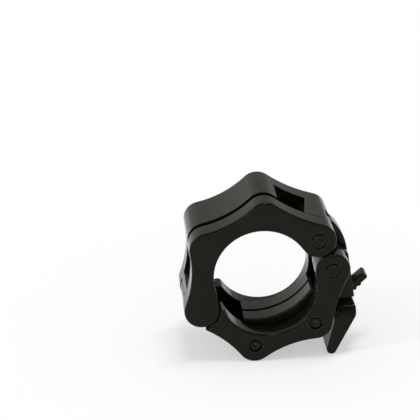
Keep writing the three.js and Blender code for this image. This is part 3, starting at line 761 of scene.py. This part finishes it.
# ---- The two pads
# Rubber mouldings that grip the sleeve: each is a band with a groove along its middle. Its face is
# flatter than the bar, so that its middle bears first, and its back lies in the jaw's seat.
PAD_REACH = 25.3
PAD_FLATTENING = 10.7
PAD_FACE_RADIUS = PAD_REACH + PAD_FLATTENING
PAD_BACK_RADIUS = 26.9
PAD_HALF_ANGLE = 33
PAD_FACE = CHANNEL - 2 * RUNNING_GAP
PAD_EDGE = 0.7
PAD_GROOVE_HALF = 1
PAD_GROOVE_DEPTH = 1.4
PAD_GROOVE_EDGE = 0.3
RUBBER_DARK = (0.0035, 0.0033, 0.0027)
RUBBER_LIGHT = (0.006, 0.0057, 0.0047)
RUBBER_DUST = (0.2, 0.19, 0.16)


def pad_profile(back):
    """Half of a pad's section from its rear corner to the groove's floor, as depth and radius."""
    face = PAD_FACE_RADIUS
    rim = [(PAD_FACE - deep, face + margin) for margin, deep in round_off(PAD_EDGE)]
    lip = [(PAD_GROOVE_HALF + deep, face + margin) for margin, deep in round_off(PAD_GROOVE_EDGE)]
    return [(PAD_FACE, back), *reversed(rim), *lip, (PAD_GROOVE_HALF, face + PAD_GROOVE_DEPTH)]


def grip_pad(name, side, seat):
    centre = polar(side + 180, PAD_FLATTENING, AXIS)
    steps = math.ceil(math.radians(2 * PAD_HALF_ANGLE) / ARC_STEP)
    loops = []
    for step in range(steps + 1):
        angle = side + PAD_HALF_ANGLE * (2 * step / steps - 1)
        way = polar(angle, 1, centre) - centre
        middle = way.dot(seat - centre)
        back = middle + math.sqrt(middle**2 - (seat - centre).length_squared + PAD_BACK_RADIUS**2)
        half = pad_profile(back)
        whole = half + [(-depth, radius) for depth, radius in reversed(half)]
        spots = [(depth, centre + radius * way) for depth, radius in whole]
        loops.append([(spot.x, depth, spot.y) for depth, spot in spots])
    return loft(name, loops)


def charcoal_rubber(name):
    """Moulded rubber, duller than the nylon and greyed by chalk and plate dust."""
    return moulded(
        name,
        specular=0.3,
        tones=(RUBBER_DARK, RUBBER_LIGHT),
        roughness=(0.2, 0.28),
        dust=RUBBER_DUST,
        dust_share=0.08,
    )[0]


rubber = charcoal_rubber("pad_rubber")
lower_pad = grip_pad("lower_grip_pad", LOWER_SIDE, LOWER_BORE)
placed(lower_pad, "lower_jaw", "lower_pad", rubber)
upper_pad = grip_pad("upper_grip_pad", UPPER_SIDE, UPPER_BORE)
placed(upper_pad, "upper_jaw", "upper_pad", rubber)

# ---- Pins, caps and bush
# Turned steel pins carry the link, the lever and the hinge, and a bush carries the catch. Of all these
# only the black caps over the pins' ends show, flush with the faces and each in its ring groove.
CAP_RADIUS = 3.5
CAP_THICKNESS = 1.2
CAP_EDGE = 0.15
STEEL_DARK = (0.42, 0.42, 0.41)
STEEL_LIGHT = (0.6, 0.6, 0.59)


def turned(name, profile, place, face):
    """A turned piece about Y, from depths below a face and the radius at each."""
    loops = []
    for depth, radius in profile:
        loops.append([(spot.x, face * (HALF_WIDTH - depth), spot.y) for spot in disc(place, radius)])
    return loft(name, loops)


def turned_steel(name):
    """Bright steel with the fine rings that a lathe leaves round the bar's direction."""
    material, tree, shader = surface(name, specular=0.5, metallic=1)
    rings = tree.nodes.new("ShaderNodeTexWave")
    rings.bands_direction = "Y"
    rings.inputs["Scale"].default_value = 0.6 / MM
    rings.inputs["Distortion"].default_value = 1.5
    tree.links.new(own_place(tree), rings.inputs["Vector"])
    bright = blended(tree, noise(tree, per_mm=0.8, detail=3), STEEL_DARK, STEEL_LIGHT)
    tree.links.new(bright, shader.inputs["Base Color"])
    roughness = remapped(tree, rings.outputs["Fac"], (0, 1), (0.25, 0.4))
    tree.links.new(roughness, shader.inputs["Roughness"])
    return material


def cap(name, place, face):
    crown = round_off(CAP_EDGE)
    profile = [(deep, CAP_RADIUS - margin) for deep, margin in crown] + [(CAP_THICKNESS, CAP_RADIUS)]
    return turned(name, profile, place, face)


steel = turned_steel("bright_steel")
for node in ("lever_pin", "link_pin", "hinge_pin", "catch_bush"):
    solid = frame["nodes"][node]
    solid.data.materials.clear()
    solid.data.materials.append(steel)
for pin, place, body in (("lever_pin", LEVER_PIN, "lower_jaw"), ("link_pin", LINK_PIN, "upper_jaw")):
    for end, face in (("front", -1), ("rear", 1)):
        node = f"{pin}_{end}_cap"
        placed(cap(node + "_disc", place, face), body, node, shell)

# ---- Screws
# Four black cross-head screws, two in the front of the lower jaw and two in the rear of the upper one.
# Each has a low domed head in its recess, and bare steel where a driver rubbed the cross, lightened in
# part as a painted glint.
SCREW_RADIUS = 1.6
SCREW_LENGTH = 38
HEAD_RADIUS = 3.2
HEAD_TOP = 0.4
HEAD_DEPTH = 1.8
HEAD_EDGE = 0.7
CROSS_LENGTH = 3.4
CROSS_WIDTH = 0.9
CROSS_DEPTH = 1.3
CROSS_FOOT_SHARE = 0.45
OXIDE_DARK = (0.005, 0.005, 0.004)
OXIDE_LIGHT = (0.01, 0.0095, 0.0085)
# Bare steel of rubbed edges, partly a painted highlight.
OXIDE_RUBBED_AND_HIGHLIT = (0.4, 0.39, 0.37)


def cross_arm(place, face, along_x):
    """One arm of the cross: a slot that narrows to its floor."""
    loops = []
    foot = (HEAD_TOP + CROSS_DEPTH, CROSS_FOOT_SHARE)
    for depth, share in ((HEAD_TOP - OVERRUN, 1), (HEAD_TOP, 1), foot):
        half_long = CROSS_LENGTH / 2 * share
        half_wide = CROSS_WIDTH / 2 * share
        wide, tall = (half_long, half_wide) if along_x else (half_wide, half_long)
        level = face * (HALF_WIDTH - depth)
        ring = ((-wide, -tall), (wide, -tall), (wide, tall), (-wide, tall))
        loops.append([(place.x + x, level, place.y + z) for x, z in ring])
    return loft("cross_arm", loops)


def cross_head_screw(name, place, face):
    crown = [(HEAD_TOP + deep, HEAD_RADIUS - margin) for deep, margin in round_off(HEAD_EDGE)]
    foot = HEAD_TOP + HEAD_DEPTH
    shank = [(foot, HEAD_RADIUS), (foot, SCREW_RADIUS), (SCREW_LENGTH, SCREW_RADIUS)]
    screw = turned(name, crown + shank, place, face)
    return without(screw, cross_arm(place, face, True), cross_arm(place, face, False))


def black_oxide(name):
    """Blackened steel, with bare metal where it is rubbed, partly a painted highlight."""
    material, tree, shader = surface(name, specular=0.5, metallic=0.85)
    patchy = blended(tree, noise(tree, per_mm=0.7, detail=4), OXIDE_DARK, OXIDE_LIGHT)
    worn_and_highlit = remapped(tree, grouped(tree, "wear_and_highlight", "Mask"), (0, 1), (0, 0.3))
    # Lighter rubbed edges: bare steel and, in part, a painted highlight.
    tree.links.new(blended(tree, worn_and_highlit, patchy, OXIDE_RUBBED_AND_HIGHLIT), shader.inputs["Base Color"])
    roughness = remapped(tree, noise(tree, per_mm=1.5, detail=3), (0.3, 0.7), (0.22, 0.42))
    tree.links.new(roughness, shader.inputs["Roughness"])
    return material


blackened = black_oxide("black_screw")
SCREWS = (
    ("catch_screw", CATCH_PIVOT, "lower_jaw", -1),
    ("bottom_screw", BOTTOM_LOBE, "lower_jaw", -1),
    ("top_screw", TOP_LOBE, "upper_jaw", 1),
    ("side_screw", SIDE_LOBE, "upper_jaw", 1),
)
for node, place, body, face in SCREWS:
    placed(cross_head_screw(node + "_head", place, face), body, node, blackened)

# ---- Lever, the fork
# Two arms on the lever pin, joined below by a neck whose tongue the thumb pad is moulded on. The arms'
# outer edges are sharp enough to catch the light, and the rivet of the toggle crosses them.
LEVER_LENGTH = LEVER_PIN.y - BOTTOM_LOBE.y + LOBE_RADIUS
CATCH_REACH = 28.2
CRANK_RADIUS = 9.5
RIVET_RADIUS = 2.1
NECK_FACE = ARM_FACE - 2
ARM_EDGE = 0.4
TONGUE_ROUND = 0.5
TONGUE_HOLLOW = 2
CATCH_WAY_ANGLES = (-180, 175)


def corners(shares, size, rounds, centre):
    """Corners of an outline from shares of the size that it follows, each with its rounding."""
    return [(centre + Vector(share) * size, bend) for share, bend in zip(shares, rounds)]


def arm_outline():
    corner_shares = [(-0.089, -0.162), (0.019, -0.423), (0.253, -0.398), (0.172, 0.075)]
    rounds = (0, ARM_EDGE, ARM_EDGE, 2 * ARM_EDGE)
    hub = (LEVER_PIN, LOBE_RADIUS - RUNNING_GAP)
    return outline([hub, *corners(corner_shares, LEVER_LENGTH, rounds, LEVER_PIN)])


def tongue_outline(margin):
    full = margin + TONGUE_ROUND
    back = margin - TONGUE_HOLLOW
    corner_shares = [
        (0.058, -0.347),
        (0.0715, -0.492),
        (0.062, -0.772),
        (0.081, -0.772),
        (0.193, -0.56),
        (0.208, -0.492),
        (0.22, -0.347),
    ]
    rounds = (full, back, full, full, full, full, full)
    return outline(corners(corner_shares, LEVER_LENGTH, rounds, LEVER_PIN))


def catch_way():
    way = sector(LEVER_PIN, RUNNING_GAP, CATCH_REACH + RUNNING_GAP, *CATCH_WAY_ANGLES)
    return through("catch_way", way, ARM_INSIDE)


CRANK = polar(LOWER_SIDE, CRANK_RADIUS, LEVER_PIN)
arm = arm_outline()
fork = joined(
    slab("lever_arms", arm, rounded(-ARM_FACE, -ARM_INSIDE, ARM_EDGE, ARM_EDGE)),
    slab("rear_arm", arm, rounded(ARM_INSIDE, ARM_FACE, ARM_EDGE, ARM_EDGE)),
    without(moulding("tongue", tongue_outline(0), NECK_FACE, ARM_EDGE), catch_way()),
)
without(
    fork,
    rod("hub_hole", LEVER_PIN, PIN_HOLE_RADIUS, HALF_WIDTH),
    rod("rivet_hole", CRANK, RIVET_RADIUS + RUNNING_GAP / 2, HALF_WIDTH),
)
placed(fork, "lever", "lever_fork", shell)

# ---- Lever, the rivet of the toggle
# A bright steel rivet, flush with the arms and slightly domed, with a small six-sided mark pressed in
# each end. The link's eye turns on it.
RIVET_EDGE = 0.35
MARK_RADIUS = 0.95
MARK_SIDES = 6


def toggle_rivet():
    end = HALF_WIDTH - ARM_FACE
    dome = [(end + deep, RIVET_RADIUS - margin) for deep, margin in round_off(RIVET_EDGE)]
    far_dome = [(COLLAR_WIDTH - depth, radius) for depth, radius in reversed(dome)]
    rivet = turned("rivet", dome + far_dome, CRANK, -1)
    marks = []
    for face in (-1, 1):
        floor = face * (ARM_FACE - RIVET_EDGE)
        mouth = face * (ARM_FACE + OVERRUN)
        ring = disc(CRANK, MARK_RADIUS, MARK_SIDES)
        marks.append(slab("rivet_mark", ring, straight(*sorted((floor, mouth)))))
    return without(rivet, *marks)


placed(toggle_rivet(), "lever", "toggle_rivet", steel)

# ---- Lever, the thumb pad
# A broad wedge at the lever's end. Its outer face is a sunk panel in a rim with thin ribs across it for
# the thumb, and it is slotted at the top for the catch.
THUMB_PAD_WIDTH = 36
THUMB_FACE = THUMB_PAD_WIDTH / 2
THUMB_EDGE = 0.9
THUMB_TIP_ROUND = 2.7
THUMB_TIP_SHARE = 0.0212
SHOULDER_ROUND = 8
SHOULDER_SHARE = 0.452
PANEL_TOP_SHARES = (0.282, -0.537)
PANEL_FOOT_SHARES = (0.0666, -0.981)
PANEL_RIM = 2.4
PANEL_DEPTH = 0.9
PANEL_LEAN = 0.5
RIB_SIDES = 16
RIB_COUNT = 4
RIB_RADIUS = 0.55


def thumb_outline():
    crest_round = 2
    top_round = 1
    rim_round = 6
    top_shares = [(0.2297, -0.4884), (0.093, -0.496)]
    rim_shares = [(0.1525, -0.5386)]
    top = corners(top_shares, LEVER_LENGTH, (crest_round, top_round), LEVER_PIN)
    tip = Vector((THUMB_TIP_SHARE * LEVER_LENGTH, THUMB_TIP_ROUND - LEVER_LENGTH))
    rim = corners(rim_shares, LEVER_LENGTH, (rim_round,), LEVER_PIN)
    return outline([*top, (LEVER_PIN + tip, THUMB_TIP_ROUND), *rim])


def thumb_shoulders():
    """The pad as seen from the collar's right side, with its shoulders rounded off."""
    reach = THUMB_FACE - SHOULDER_ROUND
    top = LEVER_PIN.y - SHOULDER_SHARE * LEVER_LENGTH - SHOULDER_ROUND
    foot = LEVER_PIN.y - LEVER_LENGTH - OVERRUN
    rounds = [
        (Vector((reach, top)), SHOULDER_ROUND),
        (Vector((-reach, top)), SHOULDER_ROUND),
        (Vector((-THUMB_FACE - SAME_POINT, foot)), 0),
        (Vector((THUMB_FACE + SAME_POINT, foot)), 0),
    ]
    ends = (LEVER_PIN.x - LEVER_LENGTH, LEVER_PIN.x + LEVER_LENGTH)
    loops = [[(x, spot.x, spot.y) for spot in outline(rounds)] for x in ends]
    return loft("thumb_shoulders", loops)


PANEL_TOP = LEVER_PIN + Vector(PANEL_TOP_SHARES) * LEVER_LENGTH
PANEL_FOOT = LEVER_PIN + Vector(PANEL_FOOT_SHARES) * LEVER_LENGTH
PANEL_WAY = (PANEL_FOOT - PANEL_TOP).normalized()
PANEL_OUT = Vector((-PANEL_WAY.y, PANEL_WAY.x))


def panel_cutter():
    """The sunk panel: a flat-bottomed tray along the outer face, its walls leaning outwards."""
    start = PANEL_TOP + PANEL_WAY * PANEL_RIM
    end = PANEL_FOOT - PANEL_WAY * PANEL_RIM
    loops = []
    for rise, spread in ((-PANEL_DEPTH, 0), (OVERRUN, PANEL_LEAN)):
        first = start - PANEL_WAY * spread + PANEL_OUT * rise
        last = end + PANEL_WAY * spread + PANEL_OUT * rise
        wide = THUMB_FACE - PANEL_RIM + spread
        corner_places = ((first, -wide), (first, wide), (last, wide), (last, -wide))
        loops.append([(spot.x, depth, spot.y) for spot, depth in corner_places])
    return loft("panel_tray", loops)


def rib_tree():
    """Round bars in a row, each lying along Y: their count, row, size and material are inputs."""
    tree = bpy.data.node_groups.new("ribs", "GeometryNodeTree")
    face = tree.interface
    inputs = (
        ("Geometry", "Geometry"),
        ("Count", "Int"),
        ("First", "Vector"),
        ("Step", "Vector"),
        ("Radius", "Float"),
        ("Length", "Float"),
        ("Material", "Material"),
    )
    for socket, kind in inputs:
        face.new_socket(socket, in_out="INPUT", socket_type="NodeSocket" + kind)
    face.new_socket("Geometry", in_out="OUTPUT", socket_type="NodeSocketGeometry")
    start = tree.nodes.new("NodeGroupInput")
    end = tree.nodes.new("NodeGroupOutput")
    line = tree.nodes.new("GeometryNodeMeshLine")
    bar = tree.nodes.new("GeometryNodeMeshCylinder")
    bar.inputs["Vertices"].default_value = RIB_SIDES
    stand = tree.nodes.new("GeometryNodeInstanceOnPoints")
    stand.inputs["Rotation"].default_value = (math.pi / 2, 0, 0)
    real = tree.nodes.new("GeometryNodeRealizeInstances")
    paint = tree.nodes.new("GeometryNodeSetMaterial")
    links = (
        (start, "Count", line, "Count"),
        (start, "First", line, "Start Location"),
        (start, "Step", line, "Offset"),
        (start, "Radius", bar, "Radius"),
        (start, "Length", bar, "Depth"),
        (line, "Mesh", stand, "Points"),
        (bar, "Mesh", stand, "Instance"),
        (stand, "Instances", real, "Geometry"),
        (real, "Geometry", paint, "Geometry"),
        (start, "Material", paint, "Material"),
        (paint, "Geometry", end, "Geometry"),
    )
    for source, output, target, socket in links:
        tree.links.new(source.outputs[output], target.inputs[socket])
    return tree


def row_of_bars(name, count, first, step, radius, half_width):
    """Round bars across the plane of the jaws, in the shell's nylon, grown and baked to a mesh."""
    values = {
        "Count": count,
        "First": (first.x, 0, first.y),
        "Step": (step.x, 0, step.y),
        "Radius": radius,
        "Length": 2 * half_width,
        "Material": shell,
    }
    tree = rib_tree()
    bars = stood(name, bpy.data.meshes.new(name))
    grower = bars.modifiers.new(name, "NODES")
    grower.node_group = tree
    for socket in tree.interface.items_tree:
        if socket.in_out == "INPUT" and socket.name in values:
            grower[socket.identifier] = values[socket.name]
    return baked(bars)


def thumb_ribs():
    room = (PANEL_FOOT - PANEL_TOP).length - 2 * PANEL_RIM
    pitch = room / (RIB_COUNT + 1)
    first = PANEL_TOP + PANEL_WAY * (PANEL_RIM + pitch) - PANEL_OUT * PANEL_DEPTH
    wide = THUMB_FACE - PANEL_RIM
    return row_of_bars("thumb_ribs", RIB_COUNT, first, PANEL_WAY * pitch, RIB_RADIUS, wide)


wedge = moulding("thumb_wedge", thumb_outline(), THUMB_FACE, THUMB_EDGE)
thumb_pad = without(
    combined(wedge, "INTERSECT", [thumb_shoulders()]),
    through("tongue_socket", tongue_outline(RUNNING_GAP / 2), NECK_FACE),
    catch_way(),
    panel_cutter(),
)
joined(thumb_pad, thumb_ribs())
placed(thumb_pad, "lever", "thumb_pad", shell)

# ---- Link
# The crescent that ties the upper jaw to the lever. It is drawn straight, from the link pin to the
# rivet, and then turned to the way it lies when the lever is shut.
LINK_FACE = ARM_INSIDE - RUNNING_GAP
LINK_EDGE = 0.7
LINK_LENGTH = (LINK_PIN - LEVER_PIN).length + CRANK_RADIUS
LINK_TURN = Matrix.Rotation(math.radians(LOWER_SIDE), 2)


def link_outline():
    hub_radius = 6.2
    eye_radius = 5
    back_radius = 28.8
    notch_radius = 3.8
    hub_end = 96
    slot_middle = Vector((0.46, 0.25))
    back_shares = Vector((0.386, -0.59))
    heel_shares = Vector((0.01, 0.319))
    rounds = [
        (Vector((0, 0)), hub_radius),
        (Vector((LINK_LENGTH - CRANK_RADIUS, 0)), -notch_radius),
        (Vector((LINK_LENGTH, 0)) + slot_middle, eye_radius),
        (back_shares * LINK_LENGTH, back_radius),
        (heel_shares * LINK_LENGTH, LINK_EDGE),
        (polar(hub_end, hub_radius, Vector((0, 0))), 0),
    ]
    return outline([(LINK_PIN + LINK_TURN @ centre, bend) for centre, bend in rounds])


link = without(
    moulding("crescent_link", link_outline(), LINK_FACE, LINK_EDGE),
    rod("link_pin_hole", LINK_PIN, PIN_HOLE_RADIUS, HALF_WIDTH),
    rod("link_eye", CRANK, RIVET_RADIUS + RUNNING_GAP, HALF_WIDTH),
)
placed(link, "link", "link", shell)

# ---- Release catch
# A toothed strip between the lever's arms, turning on its bush. It is pressed to free the lever, and a
# row of ridges along its outer edge keeps the finger on it.
CATCH_LENGTH = 32
CATCH_FACE = LINK_FACE - RUNNING_GAP
CATCH_EDGE = 0.5
CATCH_HUB_RADIUS = 5.2
BUSH_HOLE_RADIUS = 3.2
TOOTH_COUNT = 4
TOOTH_RADIUS = 1.3
TOOTH_RISE = 0.6
TOOTHED_EDGE_SHARES = ((0.571, 0.162), (0.85, 0.447))


def catch_outline():
    heel_round = 0.4
    tip_round = 1.2
    corner_shares = [
        (0.262, 0.078),
        (0.545, 0.143),
        *TOOTHED_EDGE_SHARES,
        (0.905, 0.5515),
        (0.88, 0.5755),
        (0.7125, 0.475),
        (0.42, 0.34),
    ]
    rounds = (0, heel_round, 0, 0, tip_round, tip_round, 0, 0)
    edge = corners(corner_shares, CATCH_LENGTH, rounds, CATCH_PIVOT)
    return outline([(CATCH_PIVOT, CATCH_HUB_RADIUS), *edge])


def catch_teeth():
    first, last = (CATCH_PIVOT + Vector(share) * CATCH_LENGTH for share in TOOTHED_EDGE_SHARES)
    pitch = (last - first) / TOOTH_COUNT
    outward = Vector((pitch.y, -pitch.x)).normalized()
    start = first + pitch / 2 + outward * (TOOTH_RISE - TOOTH_RADIUS)
    return row_of_bars("catch_ridges", TOOTH_COUNT, start, pitch, TOOTH_RADIUS, CATCH_FACE)


catch = without(
    moulding("toothed_catch", catch_outline(), CATCH_FACE, CATCH_EDGE),
    rod("bush_hole", CATCH_PIVOT, BUSH_HOLE_RADIUS, HALF_WIDTH),
)
joined(catch, catch_teeth())
placed(catch, "catch", "release_catch", shell)

# ---- Catch spring
# A torsion spring wound round the bush beside the catch, from one bright wire with a straight leg at
# each end. It is hidden between the shells.
WIRE_RADIUS = 0.45
COIL_RADIUS = 4.3
COIL_TURNS = 3.25
COIL_PITCH = 1.4
COIL_LEG = 2.6
COIL_START = math.radians(300)
COIL_LENGTH = math.tau * COIL_RADIUS * COIL_TURNS


def spring_spot(run):
    """A point of the wire's middle, that far along it from where the winding starts."""
    wound = min(max(run, 0), COIL_LENGTH)
    past = run - wound
    angle = COIL_START + wound / COIL_RADIUS
    rise = CATCH_FACE + RUNNING_GAP + WIRE_RADIUS + COIL_PITCH * wound / COIL_RADIUS / math.tau
    x = COIL_RADIUS * math.cos(angle) - past * math.sin(angle)
    z = COIL_RADIUS * math.sin(angle) + past * math.cos(angle)
    return Vector((CATCH_PIVOT.x + x, rise, CATCH_PIVOT.y + z))


def torsion_spring():
    length = COIL_LENGTH + 2 * COIL_LEG
    steps = 120
    sides = 10
    nudge = 0.01
    loops = []
    for step in range(steps + 1):
        run = length * step / steps - COIL_LEG
        way = (spring_spot(run + nudge) - spring_spot(run - nudge)).normalized()
        across = way.cross(Vector((0, 1, 0))).normalized()
        up = across.cross(way)
        ring = []
        for side in range(sides):
            angle = math.tau * side / sides
            out = across * math.cos(angle) + up * math.sin(angle)
            ring.append(spring_spot(run) + WIRE_RADIUS * out)
        loops.append(ring)
    return loft("torsion_spring", loops)


placed(torsion_spring(), "lower_jaw", "catch_spring", steel)

# ---- Floor, light and camera
# A pale seamless floor under soft studio light. To the eye and in reflections it is partly a painted
# white glow, half near the collar and whole farther out, which lightens the collar's shadow. The camera
# stands as the photograph's did, above the front and slightly to the left, with the collar low on the
# right of its frame.
FLOOR_HALF = 3
IMAGE_PIXELS = 420
PIXELS_PER_MM = 1.893
CAMERA_DISTANCE = 1000
CAMERA_AZIMUTH = -6.6
CAMERA_ELEVATION = 25
AXIS_PIXEL = Vector((266.1, 283.2))
SENSOR_WIDTH = 36
FLOOR_TONES = (0.95, 0.97)
# Share of painted white glow on the floor near the collar, rising to all of it farther out.
FLOOR_LIFT = 0.5
FLOOR_FADE = (0.05, 0.2)
WORLD_LIGHT = 0.5
ROOM_TONE = (0.9, 0.88, 0.84)
LAMP_TARGET = (0, 0, 0.045)
LAMPS = (
    ("top_softbox", (0.1, -0.1, 1.6), (0.9, 0.12), 11),
    ("left_softbox", (-1.4, -0.6, 1.1), (0.1, 0.8), 7),
)


def seen_ray(tree):
    """1 where the camera, a reflection or something clear looks, and 0 where light is gathered."""
    path = tree.nodes.new("ShaderNodeLightPath")
    seen = path.outputs["Is Camera Ray"]
    for kind in ("Is Glossy Ray", "Is Transmission Ray"):
        seen = worked_out(tree, "MAXIMUM", seen, path.outputs[kind])
    return seen


def pale_floor():
    maker = bmesh.new()
    bmesh.ops.create_grid(maker, x_segments=1, y_segments=1, size=FLOOR_HALF)
    floor = meshed("floor", maker)
    material, tree, shader = surface("pale_floor", specular=0.1)
    shader.inputs["Roughness"].default_value = 0.9
    spread = remapped(tree, noise(tree, per_mm=0.004, detail=2), (0.3, 0.7), FLOOR_TONES)
    tree.links.new(spread, shader.inputs["Base Color"])
    reach = tree.nodes.new("ShaderNodeVectorMath")
    reach.operation = "LENGTH"
    tree.links.new(own_place(tree), reach.inputs[0])
    fade = remapped(tree, reach.outputs["Value"], FLOOR_FADE, (FLOOR_LIFT, 1))
    # To the eye and in reflections, a painted white glow: half of the floor near the collar, all of it
    # farther out, so its shadow is lightened.
    glow = tree.nodes.new("ShaderNodeEmission")
    lifted = tree.nodes.new("ShaderNodeMixShader")
    tree.links.new(product(tree, seen_ray(tree), fade), lifted.inputs["Fac"])
    tree.links.new(shader.outputs["BSDF"], lifted.inputs[1])
    tree.links.new(glow.outputs["Emission"], lifted.inputs[2])
    tree.links.new(lifted.outputs["Shader"], tree.nodes["Material Output"].inputs["Surface"])
    floor.data.materials.append(material)


def studio_world():
    """White to the eye and dimmer as a light. What the object mirrors darkens up and to the right."""
    world = bpy.data.worlds.new("studio")
    bpy.context.scene.world = world
    world.use_nodes = True
    tree = world.node_tree
    background = tree.nodes["Background"]
    place = tree.nodes.new("ShaderNodeTexCoord")
    way = tree.nodes.new("ShaderNodeSeparateXYZ")
    tree.links.new(place.outputs["Generated"], way.inputs["Vector"])
    leftward = remapped(tree, way.outputs["X"], (-0.7, 0.3), (1, 0.5))
    overhead = remapped(tree, way.outputs["Z"], (0.35, 0.8), (1, 0.08))
    room = blended(tree, product(tree, leftward, overhead), (0, 0, 0), ROOM_TONE)
    mirrored = tree.nodes.new("ShaderNodeLightPath").outputs["Is Glossy Ray"]
    tree.links.new(blended(tree, mirrored, (1, 1, 1), room), background.inputs["Color"])
    strength = remapped(tree, seen_ray(tree), (0, 1), (WORLD_LIGHT, 1))
    tree.links.new(strength, background.inputs["Strength"])


def aimed(thing, way):
    thing.rotation_euler = way.to_track_quat("-Z", "Y").to_euler()


def soft_lamp(name, place, size, watts):
    light = bpy.data.lights.new(name, "AREA")
    light.shape = "RECTANGLE"
    light.size, light.size_y = size
    light.energy = watts
    lamp = stood(name, light)
    lamp.location = place
    aimed(lamp, Vector(LAMP_TARGET) - Vector(place))


def photo_camera():
    data = bpy.data.cameras.new("camera")
    data.sensor_width = SENSOR_WIDTH
    data.lens = SENSOR_WIDTH * CAMERA_DISTANCE * PIXELS_PER_MM / IMAGE_PIXELS
    data.clip_start = 0.01
    camera = stood("camera", data)
    bpy.context.scene.camera = camera
    azimuth = math.radians(CAMERA_AZIMUTH)
    elevation = math.radians(CAMERA_ELEVATION)
    level = math.cos(elevation)
    back = Vector((math.sin(azimuth) * level, -math.cos(azimuth) * level, math.sin(elevation)))
    right = Vector((math.cos(azimuth), math.sin(azimuth), 0))
    up = back.cross(right)
    offset = (AXIS_PIXEL - Vector((IMAGE_PIXELS / 2, IMAGE_PIXELS / 2))) / PIXELS_PER_MM
    bore_front = Vector((AXIS.x, -HALF_WIDTH, AXIS.y))
    aim = bore_front - right * offset.x + up * offset.y
    eye = bore_front + back * CAMERA_DISTANCE
    camera.location = eye * MM
    aimed(camera, aim - eye)


pale_floor()
studio_world()
for lamp in LAMPS:
    soft_lamp(*lamp)
photo_camera()
bpy.context.scene.view_settings.view_transform = "Standard"
